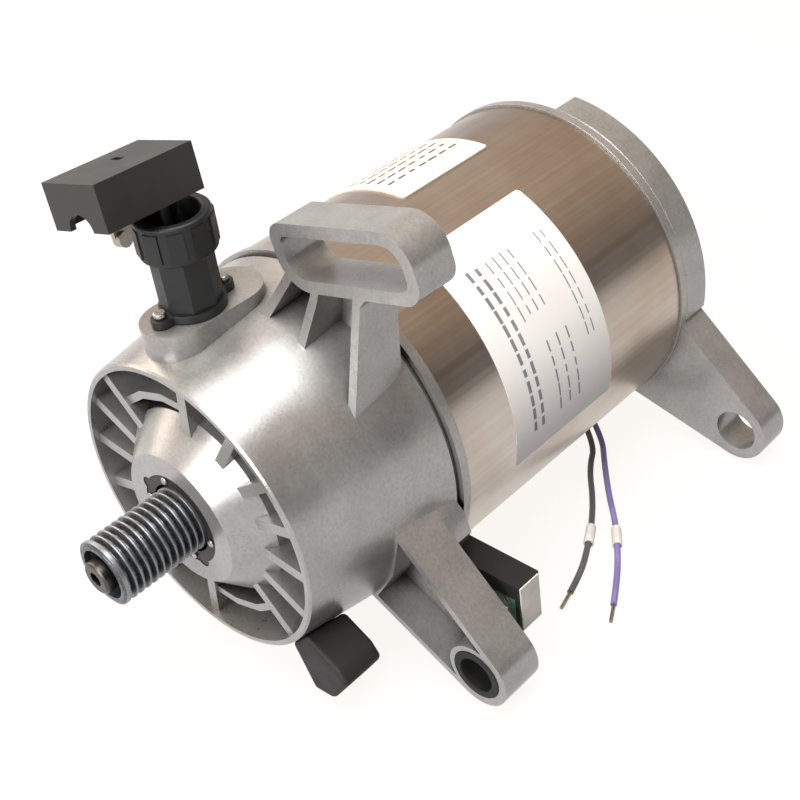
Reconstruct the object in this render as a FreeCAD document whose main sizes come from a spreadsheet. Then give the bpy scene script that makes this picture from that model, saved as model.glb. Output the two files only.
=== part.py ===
import FreeCAD, Part
import math
import os

import Sketcher

# DC door motor. Millimetres, +Z up. The shaft lies on Y with its free end at the origin, so +Y runs back
# through the motor. Every size is named once here; the document reads it from the sheet of the same names.
SIZES = {
    # clearances
    "seat_gap": 0.03,
    "running_gap": 0.05,
    "part_gap": 0.3,
    # stations along the shaft
    "rim_setback": 34,
    "shield_length": 55,
    "tube_length": 103,
    # yoke tube
    "tube_radius": 54,
    "tube_wall": 5,
    # front end shield casting
    "rim_radius": 46.3,
    "rim_wall": 2,
    "cast_edge": 0.6,
    "flare_inset": 0.8,
    "collar_proud": 0.6,
    "collar_width": 3,
    "collar_groove": 1.4,
    "collar_groove_deep": 0.8,
    "spigot_length": 5,
    "spigot_wall": 3.4,
    "hub_radius": 21.5,
    "hub_proud": 4.5,
    "hub_knee_radius": 30,
    "hub_knee_setback": 5,
    "hub_foot_radius": 32,
    "recess_deep": 18,
    "shield_wall": 5,
    "rib_thick": 3.4,
    "rib_drop": 2,
    "rib_root_radius": 25.5,
    "rib_web_radius": 34,
    "rib_web_thick": 2.4,
    "face_bore": 14.2,
    "face_notch_radius": 2.6,
    "face_notch_reach": 13.2,
    # loop that takes the belt tension bolt
    "loop_left_x": 23.8,
    "loop_left_z": 70.5,
    "loop_right_x": 54.6,
    "loop_right_z": 77.7,
    "loop_radius": 9.7,
    "loop_slot_radius": 6.1,
    "loop_corner_left": 5,
    "loop_corner_right": 6.5,
    "slot_corner_left": 2.4,
    "slot_corner_right": 3.2,
    "loop_setback": 35,
    "loop_depth": 13,
    "fin_thick": 2.7,
    "fin_foot_setback": 29.5,
    "fin_left_x": -28.6,
    "fin_left_lean": 35,
    "fin_left_low": 44,
    "fin_left_high": 66,
    "fin_mid_x": 7.6,
    "fin_mid_lean": 16,
    "fin_mid_low": 40,
    "fin_mid_high": 64,
    "fin_right_x": 36.4,
    "fin_right_lean": 4,
    "fin_right_low": 28,
    "fin_right_high": 68,
    "fin_brow": 4,
    "fin_fillet": 7,
    "fin_fillet_reach": 4.5,
    "fin_fillet_drop": 4.7,
    "loop_web": 3,
    "web_left_x": 10,
    "web_left_low": 46,
    "web_mid_x": 24,
    "web_mid_low": 40,
    "web_right_x": 38,
    "web_right_low": 29,
    "web_right_top_x": 41,
    "web_right_top": 66,
    "web_mid_top_x": 26,
    "web_mid_top": 63,
    "web_left_top_x": 16.5,
    "web_left_top": 61,
    # pivot arms
    "pivot_x": 74.6,
    "pivot_z": -42.9,
    "arm_tip_radius": 10.6,
    "arm_boss_radius": 9.6,
    "arm_top_x": 47.2,
    "arm_top_z": 0.2,
    "arm_low_x": 26.1,
    "arm_low_z": -29.8,
    "front_arm_setback": 28.5,
    "front_arm_depth": 14,
    "arm_pocket_deep": 11.5,
    "arm_root_setback": 50,
    "arm_root_brow": 8.5,
    "arm_root_brow_drop": 8.7,
    "arm_root_cheek": 10.5,
    "arm_root_cheek_drop": 15,
    "arm_root_chin": 6,
    "arm_root_chin_drop": 23,
    "arm_root_heel": 4,
    "arm_root_heel_drop": 8,
    "arm_pocket_top_x": 50.8,
    "arm_pocket_top_z": -6.6,
    "arm_pocket_tip_x": 77,
    "arm_pocket_tip_z": -33.4,
    "arm_pocket_waist_x": 66.8,
    "arm_pocket_waist_z": -37,
    "arm_pocket_toe_x": 66.5,
    "arm_pocket_toe_z": -48.4,
    "arm_pocket_low_x": 38.4,
    "arm_pocket_low_z": -33.9,
    "arm_pocket_root_x": 46.6,
    "arm_pocket_root_z": -21.2,
    "rear_arm_top_x": 45.5,
    "rear_arm_top_z": -1.4,
    "rear_arm_low_x": 24,
    "rear_arm_low_z": -40,
    "rear_arm_proud": 1.3,
    "rear_arm_depth": 11.7,
    "bush_radius": 8,
    "bush_bore": 5.5,
    "rear_pivot_bore": 7,
    # rear end shield casting
    "bead_proud": 0.8,
    "bead_width": 3,
    "rear_body_inset": 4,
    "rear_depth": 13,
    "rear_plate": 6,
    "rear_edge": 3,
    "rear_boss_radius": 21,
    "rear_boss_proud": 3,
    "rear_pad_proud": 1,
    "rear_pad_start": -8,
    "rear_pad_sweep": 92,
    # bearings
    "front_race_radius": 17.5,
    "front_race_wide": 11,
    "front_race_setback": -0.9,
    "front_seat_radius": 7.5,
    "front_split_radius": 11.5,
    "circlip_thick": 1.5,
    "circlip_groove_deep": 1.1,
    "circlip_band": 3,
    "seal_bore": 10.9,
    "seal_thick": 1.6,
    "seal_pin_circle": 11.9,
    "seal_pin_radius": 1.2,
    "seal_pin_head": 0.7,
    "rear_race_radius": 16,
    "rear_race_wide": 10,
    "rear_seat_radius": 6,
    "rear_split_radius": 10.5,
    "wave_washer_thick": 1,
    # rotor
    "nose_radius": 5,
    "pulley_bore": 6.5,
    "core_shaft_radius": 9,
    "end_thread_radius": 2.1,
    "end_thread_deep": 10,
    "pulley_setback": 2.3,
    "pulley_width": 28.7,
    "pulley_radius": 10,
    "belt_rib_pitch": 2.34,
    "belt_rib_count": 11,
    "belt_groove_deep": 1.9,
    "pulley_recess_radius": 7.6,
    "pulley_recess_deep": 4,
    "core_setback": 88,
    "core_length": 45,
    "air_gap": 1.5,
    "core_slots": 12,
    "slot_width": 6,
    "slot_deep": 10,
    "winding_overhang": 12,
    "winding_inset": 3.5,
    "commutator_setback": 57,
    "commutator_length": 18,
    "commutator_radius": 16,
    "disc_setback": 51,
    "disc_bolt_gap": 2,
    "disc_thick": 1,
    "disc_hub_long": 3,
    "disc_hub_wall": 4,
    # field and brush gear
    "magnet_thick": 13,
    "magnet_setback": 85,
    "magnet_length": 50,
    "magnet_space": 13,
    "bolt_inset": 7,
    "bolt_thread_deep": 10,
    "bolt_radius": 2,
    "bolt_head_radius": 3.5,
    "bolt_head": 3.5,
    "brush_width": 8,
    "brush_breadth": 10,
    "brush_length": 15,
    "brush_setback": 61,
    "box_wall": 1.2,
    "box_length": 20,
    "brush_plate_thick": 2.5,
    "spring_radius": 2.6,
    # cable gland and plug
    "gland_x": -5.6,
    "gland_setback": 20,
    "gland_pad_half": 9.8,
    "gland_pad_front": 3.8,
    "gland_pad_length": 38,
    "gland_pad_top": 54.5,
    "gland_pad_root": 38,
    "gland_flange": 2.5,
    "gland_lobe_radius": 3,
    "gland_lobe_reach": 10.6,
    "gland_waist_radius": 9.2,
    "gland_body_radius": 8.6,
    "gland_body_height": 15,
    "gland_flats": 8,
    "gland_cap_radius": 10.5,
    "gland_cap_height": 11.5,
    "gland_bore": 6,
    "gland_cap_bore": 7.6,
    "cable_way_setback": 3.8,
    "cable_way_radius": 3.4,
    "cable_way_deep": 22,
    "gland_seal": 4,
    "gland_screw_radius": 1.8,
    "gland_screw_head": 1.6,
    "plug_lead_radius": 1.3,
    "plug_lead_spacing": 4.6,
    "plug_wide": 21,
    "plug_long": 31.6,
    "plug_tall": 12.5,
    "plug_x": -9.5,
    "plug_setback": 11.6,
    "plug_floor": 86.6,
    "plug_lean": -11.1,
    "plug_yaw": 5.4,
    "plug_pitch": -5.2,
    "plug_shell": 1.8,
    "plug_notch_radius": 4.6,
    "plug_slot_long": 3.6,
    "plug_slot_wide": 2,
    "plug_blade": 1.4,
    "plug_blade_wide": 5.5,
    "plug_blade_long": 10,
    "plug_blade_drop": 3,
    "plug_eye_radius": 2,
    "plug_core_wide": 11,
    "plug_core_long": 15,
    # rubber buffer
    "buffer_setback": 2,
    "buffer_depth": 14.5,
    "buffer_root_x": 31,
    "buffer_root_z": -26.7,
    "buffer_heel_x": 29,
    "buffer_heel_z": -35,
    "buffer_foot_x": 35.7,
    "buffer_foot_z": -51,
    "buffer_toe_x": 43.4,
    "buffer_toe_z": -50.4,
    "buffer_tip_x": 50.6,
    "buffer_tip_z": -40.4,
    "buffer_brow_x": 47.6,
    "buffer_brow_z": -36,
    # encoder
    "encoder_setback": 46.8,
    "encoder_depth": 9,
    "encoder_root_x": 36,
    "encoder_end_x": 76,
    "encoder_end_wall": 1.5,
    "encoder_top_z": -24,
    "encoder_low_z": -41,
    "encoder_roof": 5,
    "encoder_floor": 2,
    "encoder_back": 2.5,
    "board_thick": 1.6,
    "board_inner_x": 25,
    "board_tongue": 30,
    "board_step_x": 50,
    "board_setback": 47.1,
    "board_step": 3,
    "socket_x": 68.5,
    "socket_rise": 2,
    "socket_side": 3,
    "socket_thick": 1.2,
    "sensor_wide": 8,
    "sensor_tall": 5,
    "window_end_x": 60,
    "window_deep": 6.6,
    # rear leads
    "lead_radius": 1,
    "lead_hole_radius": 3.4,
    "lead_exit_angle": -58,
    "lead_exit_room": 17.5,
    "lead_spacing": 4,
    "grommet_radius": 4.6,
    "sleeve_radius": 1.6,
    "sleeve_length": 8,
    "strand_radius": 0.7,
    "strand_length": 7,
}


class Size:
    """A number together with the sheet formula that gives it."""

    def __init__(self, value, formula):
        self.value = float(value)
        self.formula = formula

    def __add__(self, other):
        other = as_size(other)
        return Size(self.value + other.value, f"({self.formula} + {other.formula})")

    def __sub__(self, other):
        other = as_size(other)
        return Size(self.value - other.value, f"({self.formula} - {other.formula})")

    def __mul__(self, other):
        other = as_size(other)
        return Size(self.value * other.value, f"({self.formula} * {other.formula})")

    def __truediv__(self, other):
        other = as_size(other)
        return Size(self.value / other.value, f"({self.formula} / {other.formula})")

    def __neg__(self):
        return Size(-self.value, f"(0 - {self.formula})")

    def __radd__(self, other):
        return as_size(other) + self

    def __rsub__(self, other):
        return as_size(other) - self

    def __rmul__(self, other):
        return as_size(other) * self


def as_size(number):
    if isinstance(number, Size):
        return number
    return Size(number, f"({number:.6g})")


def make_sheet():
    sheet = doc.addObject("Spreadsheet::Sheet", "Sizes")
    for row, (name, value) in enumerate(SIZES.items(), start=1):
        sheet.set(f"A{row}", name)
        sheet.set(f"B{row}", str(value))
        sheet.setAlias(f"B{row}", name)
    doc.recompute()
    return sheet


doc = FreeCAD.newDocument("dc_door_motor")
sheet = make_sheet()
nodes = []


def read(name):
    """The number a named cell of the sheet holds."""
    return float(sheet.get(name))


class Named:
    """Gives each named size as an attribute."""

    def __getattr__(self, name):
        return Size(read(name), "Sizes." + name)


dim = Named()


def bind(item, prop, amount):
    item.setExpression(prop, as_size(amount).formula)


def keep(item, name):
    """Marks a finished solid as a node of the assembly."""
    item.Label = name
    nodes.append(item)
    return item


# Sketches and features of a body. A plane XZ has its sketch x on X and sketch y on Z and looks along +Y;
# YZ has sketch x on Y; XY is seen from above.
def new_body(name):
    return doc.addObject("PartDesign::Body", name)


def origin_piece(body, role):
    return [piece for piece in body.Origin.OriginFeatures if piece.Role == role][0]


def new_sketch(body, plane, station=0):
    sketch = body.newObject("Sketcher::SketchObject", "Outline")
    sketch.AttachmentSupport = [(origin_piece(body, plane + "_Plane"), "")]
    sketch.MapMode = "FlatFace"
    station = as_size(station)
    if plane == "XZ":
        station = -station
    bind(sketch, "AttachmentOffset.Base.z", station)
    return sketch


def fix(sketch, kind, arguments, amount):
    amount = as_size(amount)
    index = sketch.addConstraint(Sketcher.Constraint(kind, *arguments, amount.value))
    sketch.setExpression(f"Constraints[{index}]", amount.formula)


def fix_point(sketch, line, end, point):
    fix(sketch, "DistanceX", (-1, 1, line, end), point[0])
    fix(sketch, "DistanceY", (-1, 1, line, end), point[1])


def flat(point):
    return FreeCAD.Vector(as_size(point[0]).value, as_size(point[1]).value, 0)


def draw_polygon(sketch, points):
    first = sketch.GeometryCount
    count = len(points)
    for index in range(count):
        ends = flat(points[index]), flat(points[(index + 1) % count])
        sketch.addGeometry(Part.LineSegment(*ends), False)
    for index in range(count):
        link = first + index, 2, first + (index + 1) % count, 1
        sketch.addConstraint(Sketcher.Constraint("Coincident", *link))
    for index, point in enumerate(points):
        fix_point(sketch, first + index, 1, point)


def draw_circle(sketch, centre, radius):
    first = sketch.GeometryCount
    circle = Part.Circle(flat(centre), FreeCAD.Vector(0, 0, 1), as_size(radius).value)
    sketch.addGeometry(circle, False)
    fix(sketch, "Radius", (first,), radius)
    fix_point(sketch, first, 3, centre)


def draw_arc(sketch, centre, radius, start, end):
    circle = Part.Circle(flat(centre), FreeCAD.Vector(0, 0, 1), as_size(radius).value)
    index = sketch.GeometryCount
    sketch.addGeometry(Part.ArcOfCircle(circle, start, end), False)
    return index


def arc_end(centre, radius, angle):
    reach = as_size(radius).value
    return flat(centre) + FreeCAD.Vector(reach * math.cos(angle), reach * math.sin(angle), 0)


def draw_stadium(sketch, one, two, radius):
    """Two half circles and the two straight sides that touch them."""
    along = flat(two) - flat(one)
    lean = math.atan2(along.y, along.x)
    quarter = math.pi / 2
    far = draw_arc(sketch, two, radius, lean - quarter, lean + quarter)
    near = draw_arc(sketch, one, radius, lean + quarter, lean + 3 * quarter)
    top = sketch.GeometryCount
    sketch.addGeometry(
        Part.LineSegment(arc_end(two, radius, lean + quarter), arc_end(one, radius, lean + quarter)), False
    )
    sketch.addGeometry(
        Part.LineSegment(arc_end(one, radius, lean - quarter), arc_end(two, radius, lean - quarter)), False
    )
    sketch.addConstraint(Sketcher.Constraint("Tangent", far, 2, top, 1))
    sketch.addConstraint(Sketcher.Constraint("Tangent", top, 2, near, 1))
    sketch.addConstraint(Sketcher.Constraint("Tangent", near, 2, top + 1, 1))
    sketch.addConstraint(Sketcher.Constraint("Tangent", top + 1, 2, far, 1))
    fix(sketch, "Radius", (far,), radius)
    fix_point(sketch, far, 3, two)
    fix_point(sketch, near, 3, one)


def touch_angle(centre, radius, outside, side):
    """The angle on a circle where a line from an outside point touches it, on the given side."""
    away = flat(outside) - flat(centre)
    spread = math.acos(as_size(radius).value / away.Length)
    return math.atan2(away.y, away.x) + side * spread


def draw_arm(sketch, centre, radius, top, low):
    """The outline of an arm: a round tip and two sides that run from it to their root points."""
    upper = touch_angle(centre, radius, top, -1)
    lower = touch_angle(centre, radius, low, 1)
    while upper < lower:
        upper += 2 * math.pi
    tip = draw_arc(sketch, centre, radius, lower, upper)
    side = sketch.GeometryCount
    sketch.addGeometry(Part.LineSegment(arc_end(centre, radius, upper), flat(top)), False)
    sketch.addGeometry(Part.LineSegment(flat(top), flat(low)), False)
    sketch.addGeometry(Part.LineSegment(flat(low), arc_end(centre, radius, lower)), False)
    sketch.addConstraint(Sketcher.Constraint("Tangent", tip, 2, side, 1))
    sketch.addConstraint(Sketcher.Constraint("Coincident", side, 2, side + 1, 1))
    sketch.addConstraint(Sketcher.Constraint("Coincident", side + 1, 2, side + 2, 1))
    sketch.addConstraint(Sketcher.Constraint("Tangent", side + 2, 2, tip, 1))
    fix(sketch, "Radius", (tip,), radius)
    fix_point(sketch, tip, 3, centre)
    fix_point(sketch, side, 2, top)
    fix_point(sketch, side + 1, 2, low)


def draw_bar(sketch, angle, inner, outer, thick):
    """A bar that points away from the shaft at an angle, between two radii."""
    across = round_place(thick / 2, angle + 90)
    near = round_place(inner, angle)
    far = round_place(outer, angle)
    draw_polygon(sketch, [
        (near[0] - across[0], near[1] - across[1]),
        (far[0] - across[0], far[1] - across[1]),
        (far[0] + across[0], far[1] + across[1]),
        (near[0] + across[0], near[1] + across[1]),
    ])


def draw_gusset(sketch, corner, one, two, radius):
    """The material of a fillet in a corner between two directions: two straight sides and a hollow arc."""
    one = FreeCAD.Vector(*one, 0).normalize()
    two = FreeCAD.Vector(*two, 0).normalize()
    half = one.getAngle(two) / 2
    middle = (one + two).normalize() * (1 / math.sin(half))
    reach = 1 / math.tan(half)

    def away(direction, share):
        return corner[0] + radius * round(direction.x * share, 6), corner[1] + radius * round(direction.y * share, 6)

    first, last, centre = away(one, reach), away(two, reach), away(middle, 1)
    start = flat(last) - flat(centre)
    end = flat(first) - flat(centre)
    angles = math.atan2(start.y, start.x), math.atan2(end.y, end.x)
    if angles[1] < angles[0]:
        angles = angles[0], angles[1] + 2 * math.pi
    arc = draw_arc(sketch, centre, radius, *angles)
    side = sketch.GeometryCount
    sketch.addGeometry(Part.LineSegment(flat(first), flat(corner)), False)
    sketch.addGeometry(Part.LineSegment(flat(corner), flat(last)), False)
    sketch.addConstraint(Sketcher.Constraint("Coincident", arc, 2, side, 1))
    sketch.addConstraint(Sketcher.Constraint("Coincident", side, 2, side + 1, 1))
    sketch.addConstraint(Sketcher.Constraint("Coincident", side + 1, 2, arc, 1))
    fix_point(sketch, arc, 1, last)
    fix_point(sketch, arc, 2, first)
    fix_point(sketch, side, 2, corner)
    fix(sketch, "Radius", (arc,), radius)


def lean_back(sketch, angle):
    """Tilts an upright sketch about its own x axis, so that its top leans towards +X."""
    sketch.AttachmentOffset = FreeCAD.Placement(
        sketch.AttachmentOffset.Base, FreeCAD.Rotation(FreeCAD.Vector(1, 0, 0), angle.value)
    )


def turn(body, points, kind="Revolution"):
    """A profile of (station, radius) points turned round the shaft axis, added or cut away."""
    sketch = new_sketch(body, "YZ")
    draw_polygon(sketch, points)
    feature = body.newObject("PartDesign::" + kind, "Turned")
    feature.Profile = sketch
    feature.ReferenceAxis = (sketch, ["H_Axis"])
    feature.Angle = 360
    sketch.Visibility = False
    return feature


def pad(body, sketch, length, backward=True):
    feature = body.newObject("PartDesign::Pad", "Pad")
    feature.Profile = sketch
    feature.Reversed = backward
    bind(feature, "Length", length)
    return feature


def pocket(body, sketch, length, backward=False):
    feature = body.newObject("PartDesign::Pocket", "Pocket")
    feature.Profile = sketch
    feature.Reversed = backward
    bind(feature, "Length", length)
    return feature


def repeat_round(body, feature, count):
    pattern = body.newObject("PartDesign::PolarPattern", "Round")
    pattern.Originals = [feature]
    pattern.Axis = (origin_piece(body, "Y_Axis"), [""])
    pattern.Angle = 360
    bind(pattern, "Occurrences", count)
    body.Tip = pattern
    return pattern


def repeat_along(body, feature, pitch, count):
    pattern = body.newObject("PartDesign::LinearPattern", "Row")
    pattern.Originals = [feature]
    pattern.Direction = (origin_piece(body, "Y_Axis"), [""])
    bind(pattern, "Length", pitch * (count - 1))
    bind(pattern, "Occurrences", count)
    body.Tip = pattern
    return pattern


# Plain solids. Station is the Y of the front face.
def round_bar(radius, station, length, angle=None):
    bar = doc.addObject("Part::Cylinder", "Bar")
    bar.Placement.Rotation = FreeCAD.Rotation(FreeCAD.Vector(1, 0, 0), -90)
    bind(bar, "Radius", radius)
    bind(bar, "Height", length)
    bind(bar, "Placement.Base.y", station)
    if angle is not None:
        bind(bar, "Angle", angle)
    return bar


def post(x, station, low, radius, height):
    bar = doc.addObject("Part::Cylinder", "Post")
    bind(bar, "Radius", radius)
    bind(bar, "Height", height)
    bind(bar, "Placement.Base.x", x)
    bind(bar, "Placement.Base.y", station)
    bind(bar, "Placement.Base.z", low)
    return bar


def block(x, station, z, wide, deep, tall):
    box = doc.addObject("Part::Box", "Block")
    bind(box, "Length", wide)
    bind(box, "Width", deep)
    bind(box, "Height", tall)
    bind(box, "Placement.Base.x", x)
    bind(box, "Placement.Base.y", station)
    bind(box, "Placement.Base.z", z)
    return box


def cut(base, *tools):
    for tool in tools:
        result = doc.addObject("Part::Cut", "Cut")
        result.Base = base
        result.Tool = tool
        base = result
    return base


def join(*pieces):
    result = doc.addObject("Part::MultiFuse", "Join")
    result.Shapes = list(pieces)
    return result


def ring(outer, inner, station, length):
    return cut(round_bar(outer, station, length), round_bar(inner, station - 1, length + 2))


# Stations and radii that several parts share.
def stations():
    place = {}
    place["rim"] = dim.rim_setback
    place["hub_face"] = dim.rim_setback - dim.hub_proud
    place["recess_floor"] = dim.rim_setback + dim.recess_deep
    place["wall_back"] = place["recess_floor"] + dim.shield_wall
    place["tube_front"] = dim.rim_setback + dim.shield_length
    place["tube_back"] = place["tube_front"] + dim.tube_length
    place["front_race"] = dim.rim_setback + dim.front_race_setback
    place["front_shoulder"] = place["front_race"] + dim.front_race_wide
    place["rear_plate_front"] = place["tube_back"] + dim.rear_depth - dim.rear_plate
    place["rear_bore_end"] = place["tube_back"] + 11.5
    place["rear_race"] = place["rear_bore_end"] - dim.wave_washer_thick - dim.rear_race_wide
    return place


at = stations()
tube_bore = dim.tube_radius - dim.tube_wall
collar_radius = dim.tube_radius + dim.collar_proud
flare_radius = dim.tube_radius - dim.flare_inset
bead_radius = dim.tube_radius + dim.bead_proud
rear_body_radius = dim.tube_radius - dim.rear_body_inset
magnet_bore = tube_bore - dim.magnet_thick
core_radius = magnet_bore - dim.air_gap
winding_radius = core_radius - dim.winding_inset
bolt_circle = tube_bore - dim.bolt_inset
disc_radius = bolt_circle - dim.bolt_radius - dim.disc_bolt_gap
lead_exit = at["tube_back"] - dim.lead_exit_room
spigot_radius = tube_bore - dim.seat_gap
spigot_bore = spigot_radius - dim.spigot_wall
gland_station = dim.rim_setback + dim.gland_setback
flare_slope = (flare_radius - dim.rim_radius) / (dim.shield_length - dim.collar_width - dim.collar_groove)


def flare(setback):
    """Radius of the casting's outer cone at a distance behind the rim."""
    return dim.rim_radius + flare_slope * setback


def front_end_shield():
    body = new_body("front_end_shield")
    hub_slope = (dim.hub_knee_radius - dim.hub_radius) / (dim.hub_proud + dim.hub_knee_setback - dim.cast_edge)
    hub_corner = at["hub_face"] + dim.cast_edge
    collar_front = at["tube_front"] - dim.collar_width
    groove_front = collar_front - dim.collar_groove
    spigot_end = at["tube_front"] + dim.spigot_length

    def flank(station):
        return dim.hub_radius + hub_slope * (station - hub_corner)

    turn(body, [
        (at["hub_face"], 0),
        (at["hub_face"], dim.hub_radius - dim.cast_edge),
        (hub_corner, dim.hub_radius),
        (at["rim"], flank(at["rim"])),
        (at["rim"], dim.rim_radius - dim.cast_edge),
        (at["rim"] + dim.cast_edge, dim.rim_radius),
        (groove_front, flare_radius),
        (groove_front, flare_radius - dim.collar_groove_deep),
        (collar_front, flare_radius - dim.collar_groove_deep),
        (collar_front, collar_radius),
        (at["tube_front"], collar_radius),
        (at["tube_front"], spigot_radius),
        (spigot_end, spigot_radius),
        (spigot_end, 0),
    ])

    # pad under the cable gland
    sketch = new_sketch(body, "XY", dim.gland_pad_top)
    pad_front = dim.rim_setback + dim.gland_pad_front + dim.gland_pad_half
    pad_back = dim.rim_setback + dim.gland_pad_front + dim.gland_pad_length - dim.gland_pad_half
    draw_stadium(sketch, (dim.gland_x, pad_front), (dim.gland_x, pad_back), dim.gland_pad_half)
    pad(body, sketch, dim.gland_pad_top - dim.gland_pad_root, True)

    # pivot arm
    pivot = dim.pivot_x, dim.pivot_z
    arm_front = dim.rim_setback + dim.front_arm_setback
    sketch = new_sketch(body, "XZ", arm_front)
    draw_arm(sketch, pivot, dim.arm_tip_radius, (dim.arm_top_x, dim.arm_top_z), (dim.arm_low_x, dim.arm_low_z))
    pad(body, sketch, dim.front_arm_depth)
    sketch = new_sketch(body, "XZ", arm_front)
    draw_polygon(sketch, [
        (dim.arm_top_x, dim.arm_top_z),
        (dim.arm_top_x + dim.arm_root_brow, dim.arm_top_z - dim.arm_root_brow_drop),
        (dim.arm_top_x + dim.arm_root_cheek, dim.arm_top_z - dim.arm_root_cheek_drop),
        (dim.arm_top_x + dim.arm_root_chin, dim.arm_top_z - dim.arm_root_chin_drop),
        (dim.arm_top_x - dim.arm_root_heel, dim.arm_top_z - dim.arm_root_heel_drop),
    ])
    pad(body, sketch, dim.arm_root_setback - dim.front_arm_setback)

    # hollows that also clean the insides of the pads
    turn(body, [
        (at["rim"] - 1, flank(at["rim"] - 1)),
        (at["rim"] + dim.hub_knee_setback, dim.hub_knee_radius),
        (at["recess_floor"], dim.hub_foot_radius),
        (at["recess_floor"], dim.rim_radius - dim.rim_wall),
        (at["rim"] - 1, dim.rim_radius - dim.rim_wall),
    ], "Groove")
    cavity_front = flare(dim.recess_deep + dim.shield_wall) - dim.rim_wall - 1.5
    turn(body, [
        (at["wall_back"], 0),
        (at["wall_back"], cavity_front),
        (collar_front, spigot_bore),
        (spigot_end + 1, spigot_bore),
        (spigot_end + 1, 0),
    ], "Groove")
    clip_back = at["front_shoulder"] + dim.circlip_thick
    clip_radius = dim.front_race_radius + dim.circlip_groove_deep
    turn(body, [
        (at["hub_face"] - 1, 0),
        (at["hub_face"] - 1, dim.face_bore),
        (at["front_race"], dim.face_bore),
        (at["front_race"], dim.front_race_radius),
        (at["front_shoulder"], dim.front_race_radius),
        (at["front_shoulder"], clip_radius),
        (clip_back, clip_radius),
        (clip_back, dim.front_race_radius),
        (at["wall_back"] + 1, dim.front_race_radius),
        (at["wall_back"] + 1, 0),
    ], "Groove")
    # the two notches in the face, for the lugs of the seal ring
    sketch = new_sketch(body, "XZ", at["hub_face"] - 1)
    for angle in SEAL_LUGS:
        draw_circle(sketch, round_place(dim.face_notch_reach, angle), dim.face_notch_radius)
    pocket(body, sketch, dim.seal_thick + 1.2)

    # ribs of the face: seven on each half, and a web across the wide cell of each half
    sketch = new_sketch(body, "XZ", at["rim"] + dim.rib_drop)
    outer = dim.rim_radius - dim.rim_wall + 1
    for angle in RIB_ANGLES:
        draw_bar(sketch, angle, dim.rib_root_radius, outer, dim.rib_thick)
    ribs = pad(body, sketch, dim.recess_deep - dim.rib_drop + 1)
    repeat_round(body, ribs, 2)
    sketch = new_sketch(body, "XZ", at["rim"] + dim.rib_drop + 1)
    bend = []
    for angle in WEB_ANGLES:
        bend.append(round_place(dim.rib_web_radius, angle))
    for angle in reversed(WEB_ANGLES):
        bend.append(round_place(dim.rib_web_radius + dim.rib_web_thick, angle))
    draw_polygon(sketch, bend)
    web = pad(body, sketch, dim.recess_deep - dim.rib_drop)
    repeat_round(body, web, 2)

    # openings: arm pocket, bush seat, gland bore, encoder window
    sketch = new_sketch(body, "XZ", arm_front)
    draw_polygon(sketch, [
        (dim.arm_pocket_top_x, dim.arm_pocket_top_z),
        (dim.arm_pocket_tip_x, dim.arm_pocket_tip_z),
        (dim.arm_pocket_waist_x, dim.arm_pocket_waist_z),
        (dim.arm_pocket_toe_x, dim.arm_pocket_toe_z),
        (dim.arm_pocket_low_x, dim.arm_pocket_low_z),
        (dim.arm_pocket_root_x, dim.arm_pocket_root_z),
    ])
    pocket(body, sketch, dim.arm_pocket_deep)
    sketch = new_sketch(body, "XZ", arm_front)
    draw_circle(sketch, pivot, dim.arm_boss_radius)
    pad(body, sketch, dim.front_arm_depth)
    sketch = new_sketch(body, "XZ", arm_front - 1)
    draw_circle(sketch, pivot, dim.bush_radius)
    pocket(body, sketch, dim.front_arm_depth + 2)
    sketch = new_sketch(body, "XY", dim.gland_pad_top + 1)
    draw_circle(sketch, (dim.gland_x, gland_station + dim.cable_way_setback), dim.cable_way_radius)
    pocket(body, sketch, dim.cable_way_deep)
    sketch = new_sketch(body, "XZ", dim.rim_setback + dim.encoder_setback - dim.part_gap)
    draw_polygon(sketch, [
        (dim.board_inner_x - 1, dim.encoder_low_z + 1),
        (dim.window_end_x, dim.encoder_low_z + 1),
        (dim.window_end_x, dim.encoder_top_z - 2),
        (dim.board_inner_x - 1, dim.encoder_top_z - 2),
    ])
    pocket(body, sketch, dim.window_deep)
    # tapped holes for the tie bolts
    sketch = new_sketch(body, "XZ", at["recess_floor"] + 1)
    draw_circle(sketch, (bolt_place(0)[0], bolt_place(0)[1]), dim.bolt_radius + dim.seat_gap)
    repeat_round(body, pocket(body, sketch, dim.bolt_thread_deep), 4)
    return keep(body, "front_end_shield")


# Angles round the shaft, in degrees from +X towards +Z.
BOLT_ANGLE = 30
RIB_ANGLES = (15, 35, 55, 82, 133, 153, 174)
WEB_ANGLES = (82, 99, 116, 133)
SEAL_LUGS = (149, -64)
SEAL_PINS = (103, 171, -81, -12)


def round_place(reach, angle):
    angle = math.radians(angle)
    return reach * round(math.cos(angle), 6), reach * round(math.sin(angle), 6)


def loop_corners(radius, left_corner, right_corner):
    """The rounds that fill two corners of the loop or its slot: upper left and lower right."""
    left = dim.loop_left_x, dim.loop_left_z
    right = dim.loop_right_x, dim.loop_right_z
    tilt = math.atan2(right[1].value - left[1].value, right[0].value - left[0].value)
    along, across = round(math.cos(tilt), 6), round(math.sin(tilt), 6)

    def spot(end, run, rise):
        return end[0] + run * along - rise * across, end[1] + run * across + rise * along

    rounds = []
    for end, corner, side in ((left, left_corner, 1), (right, right_corner, -1)):
        inset = (radius - corner) * side
        for foot in ((0, inset), (-inset, 0)):
            rounds.append((spot(end, -inset, inset), spot(end, *foot), corner))
    return rounds


def bolt_place(index):
    return round_place(bolt_circle, BOLT_ANGLE + 90 * index)


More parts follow.
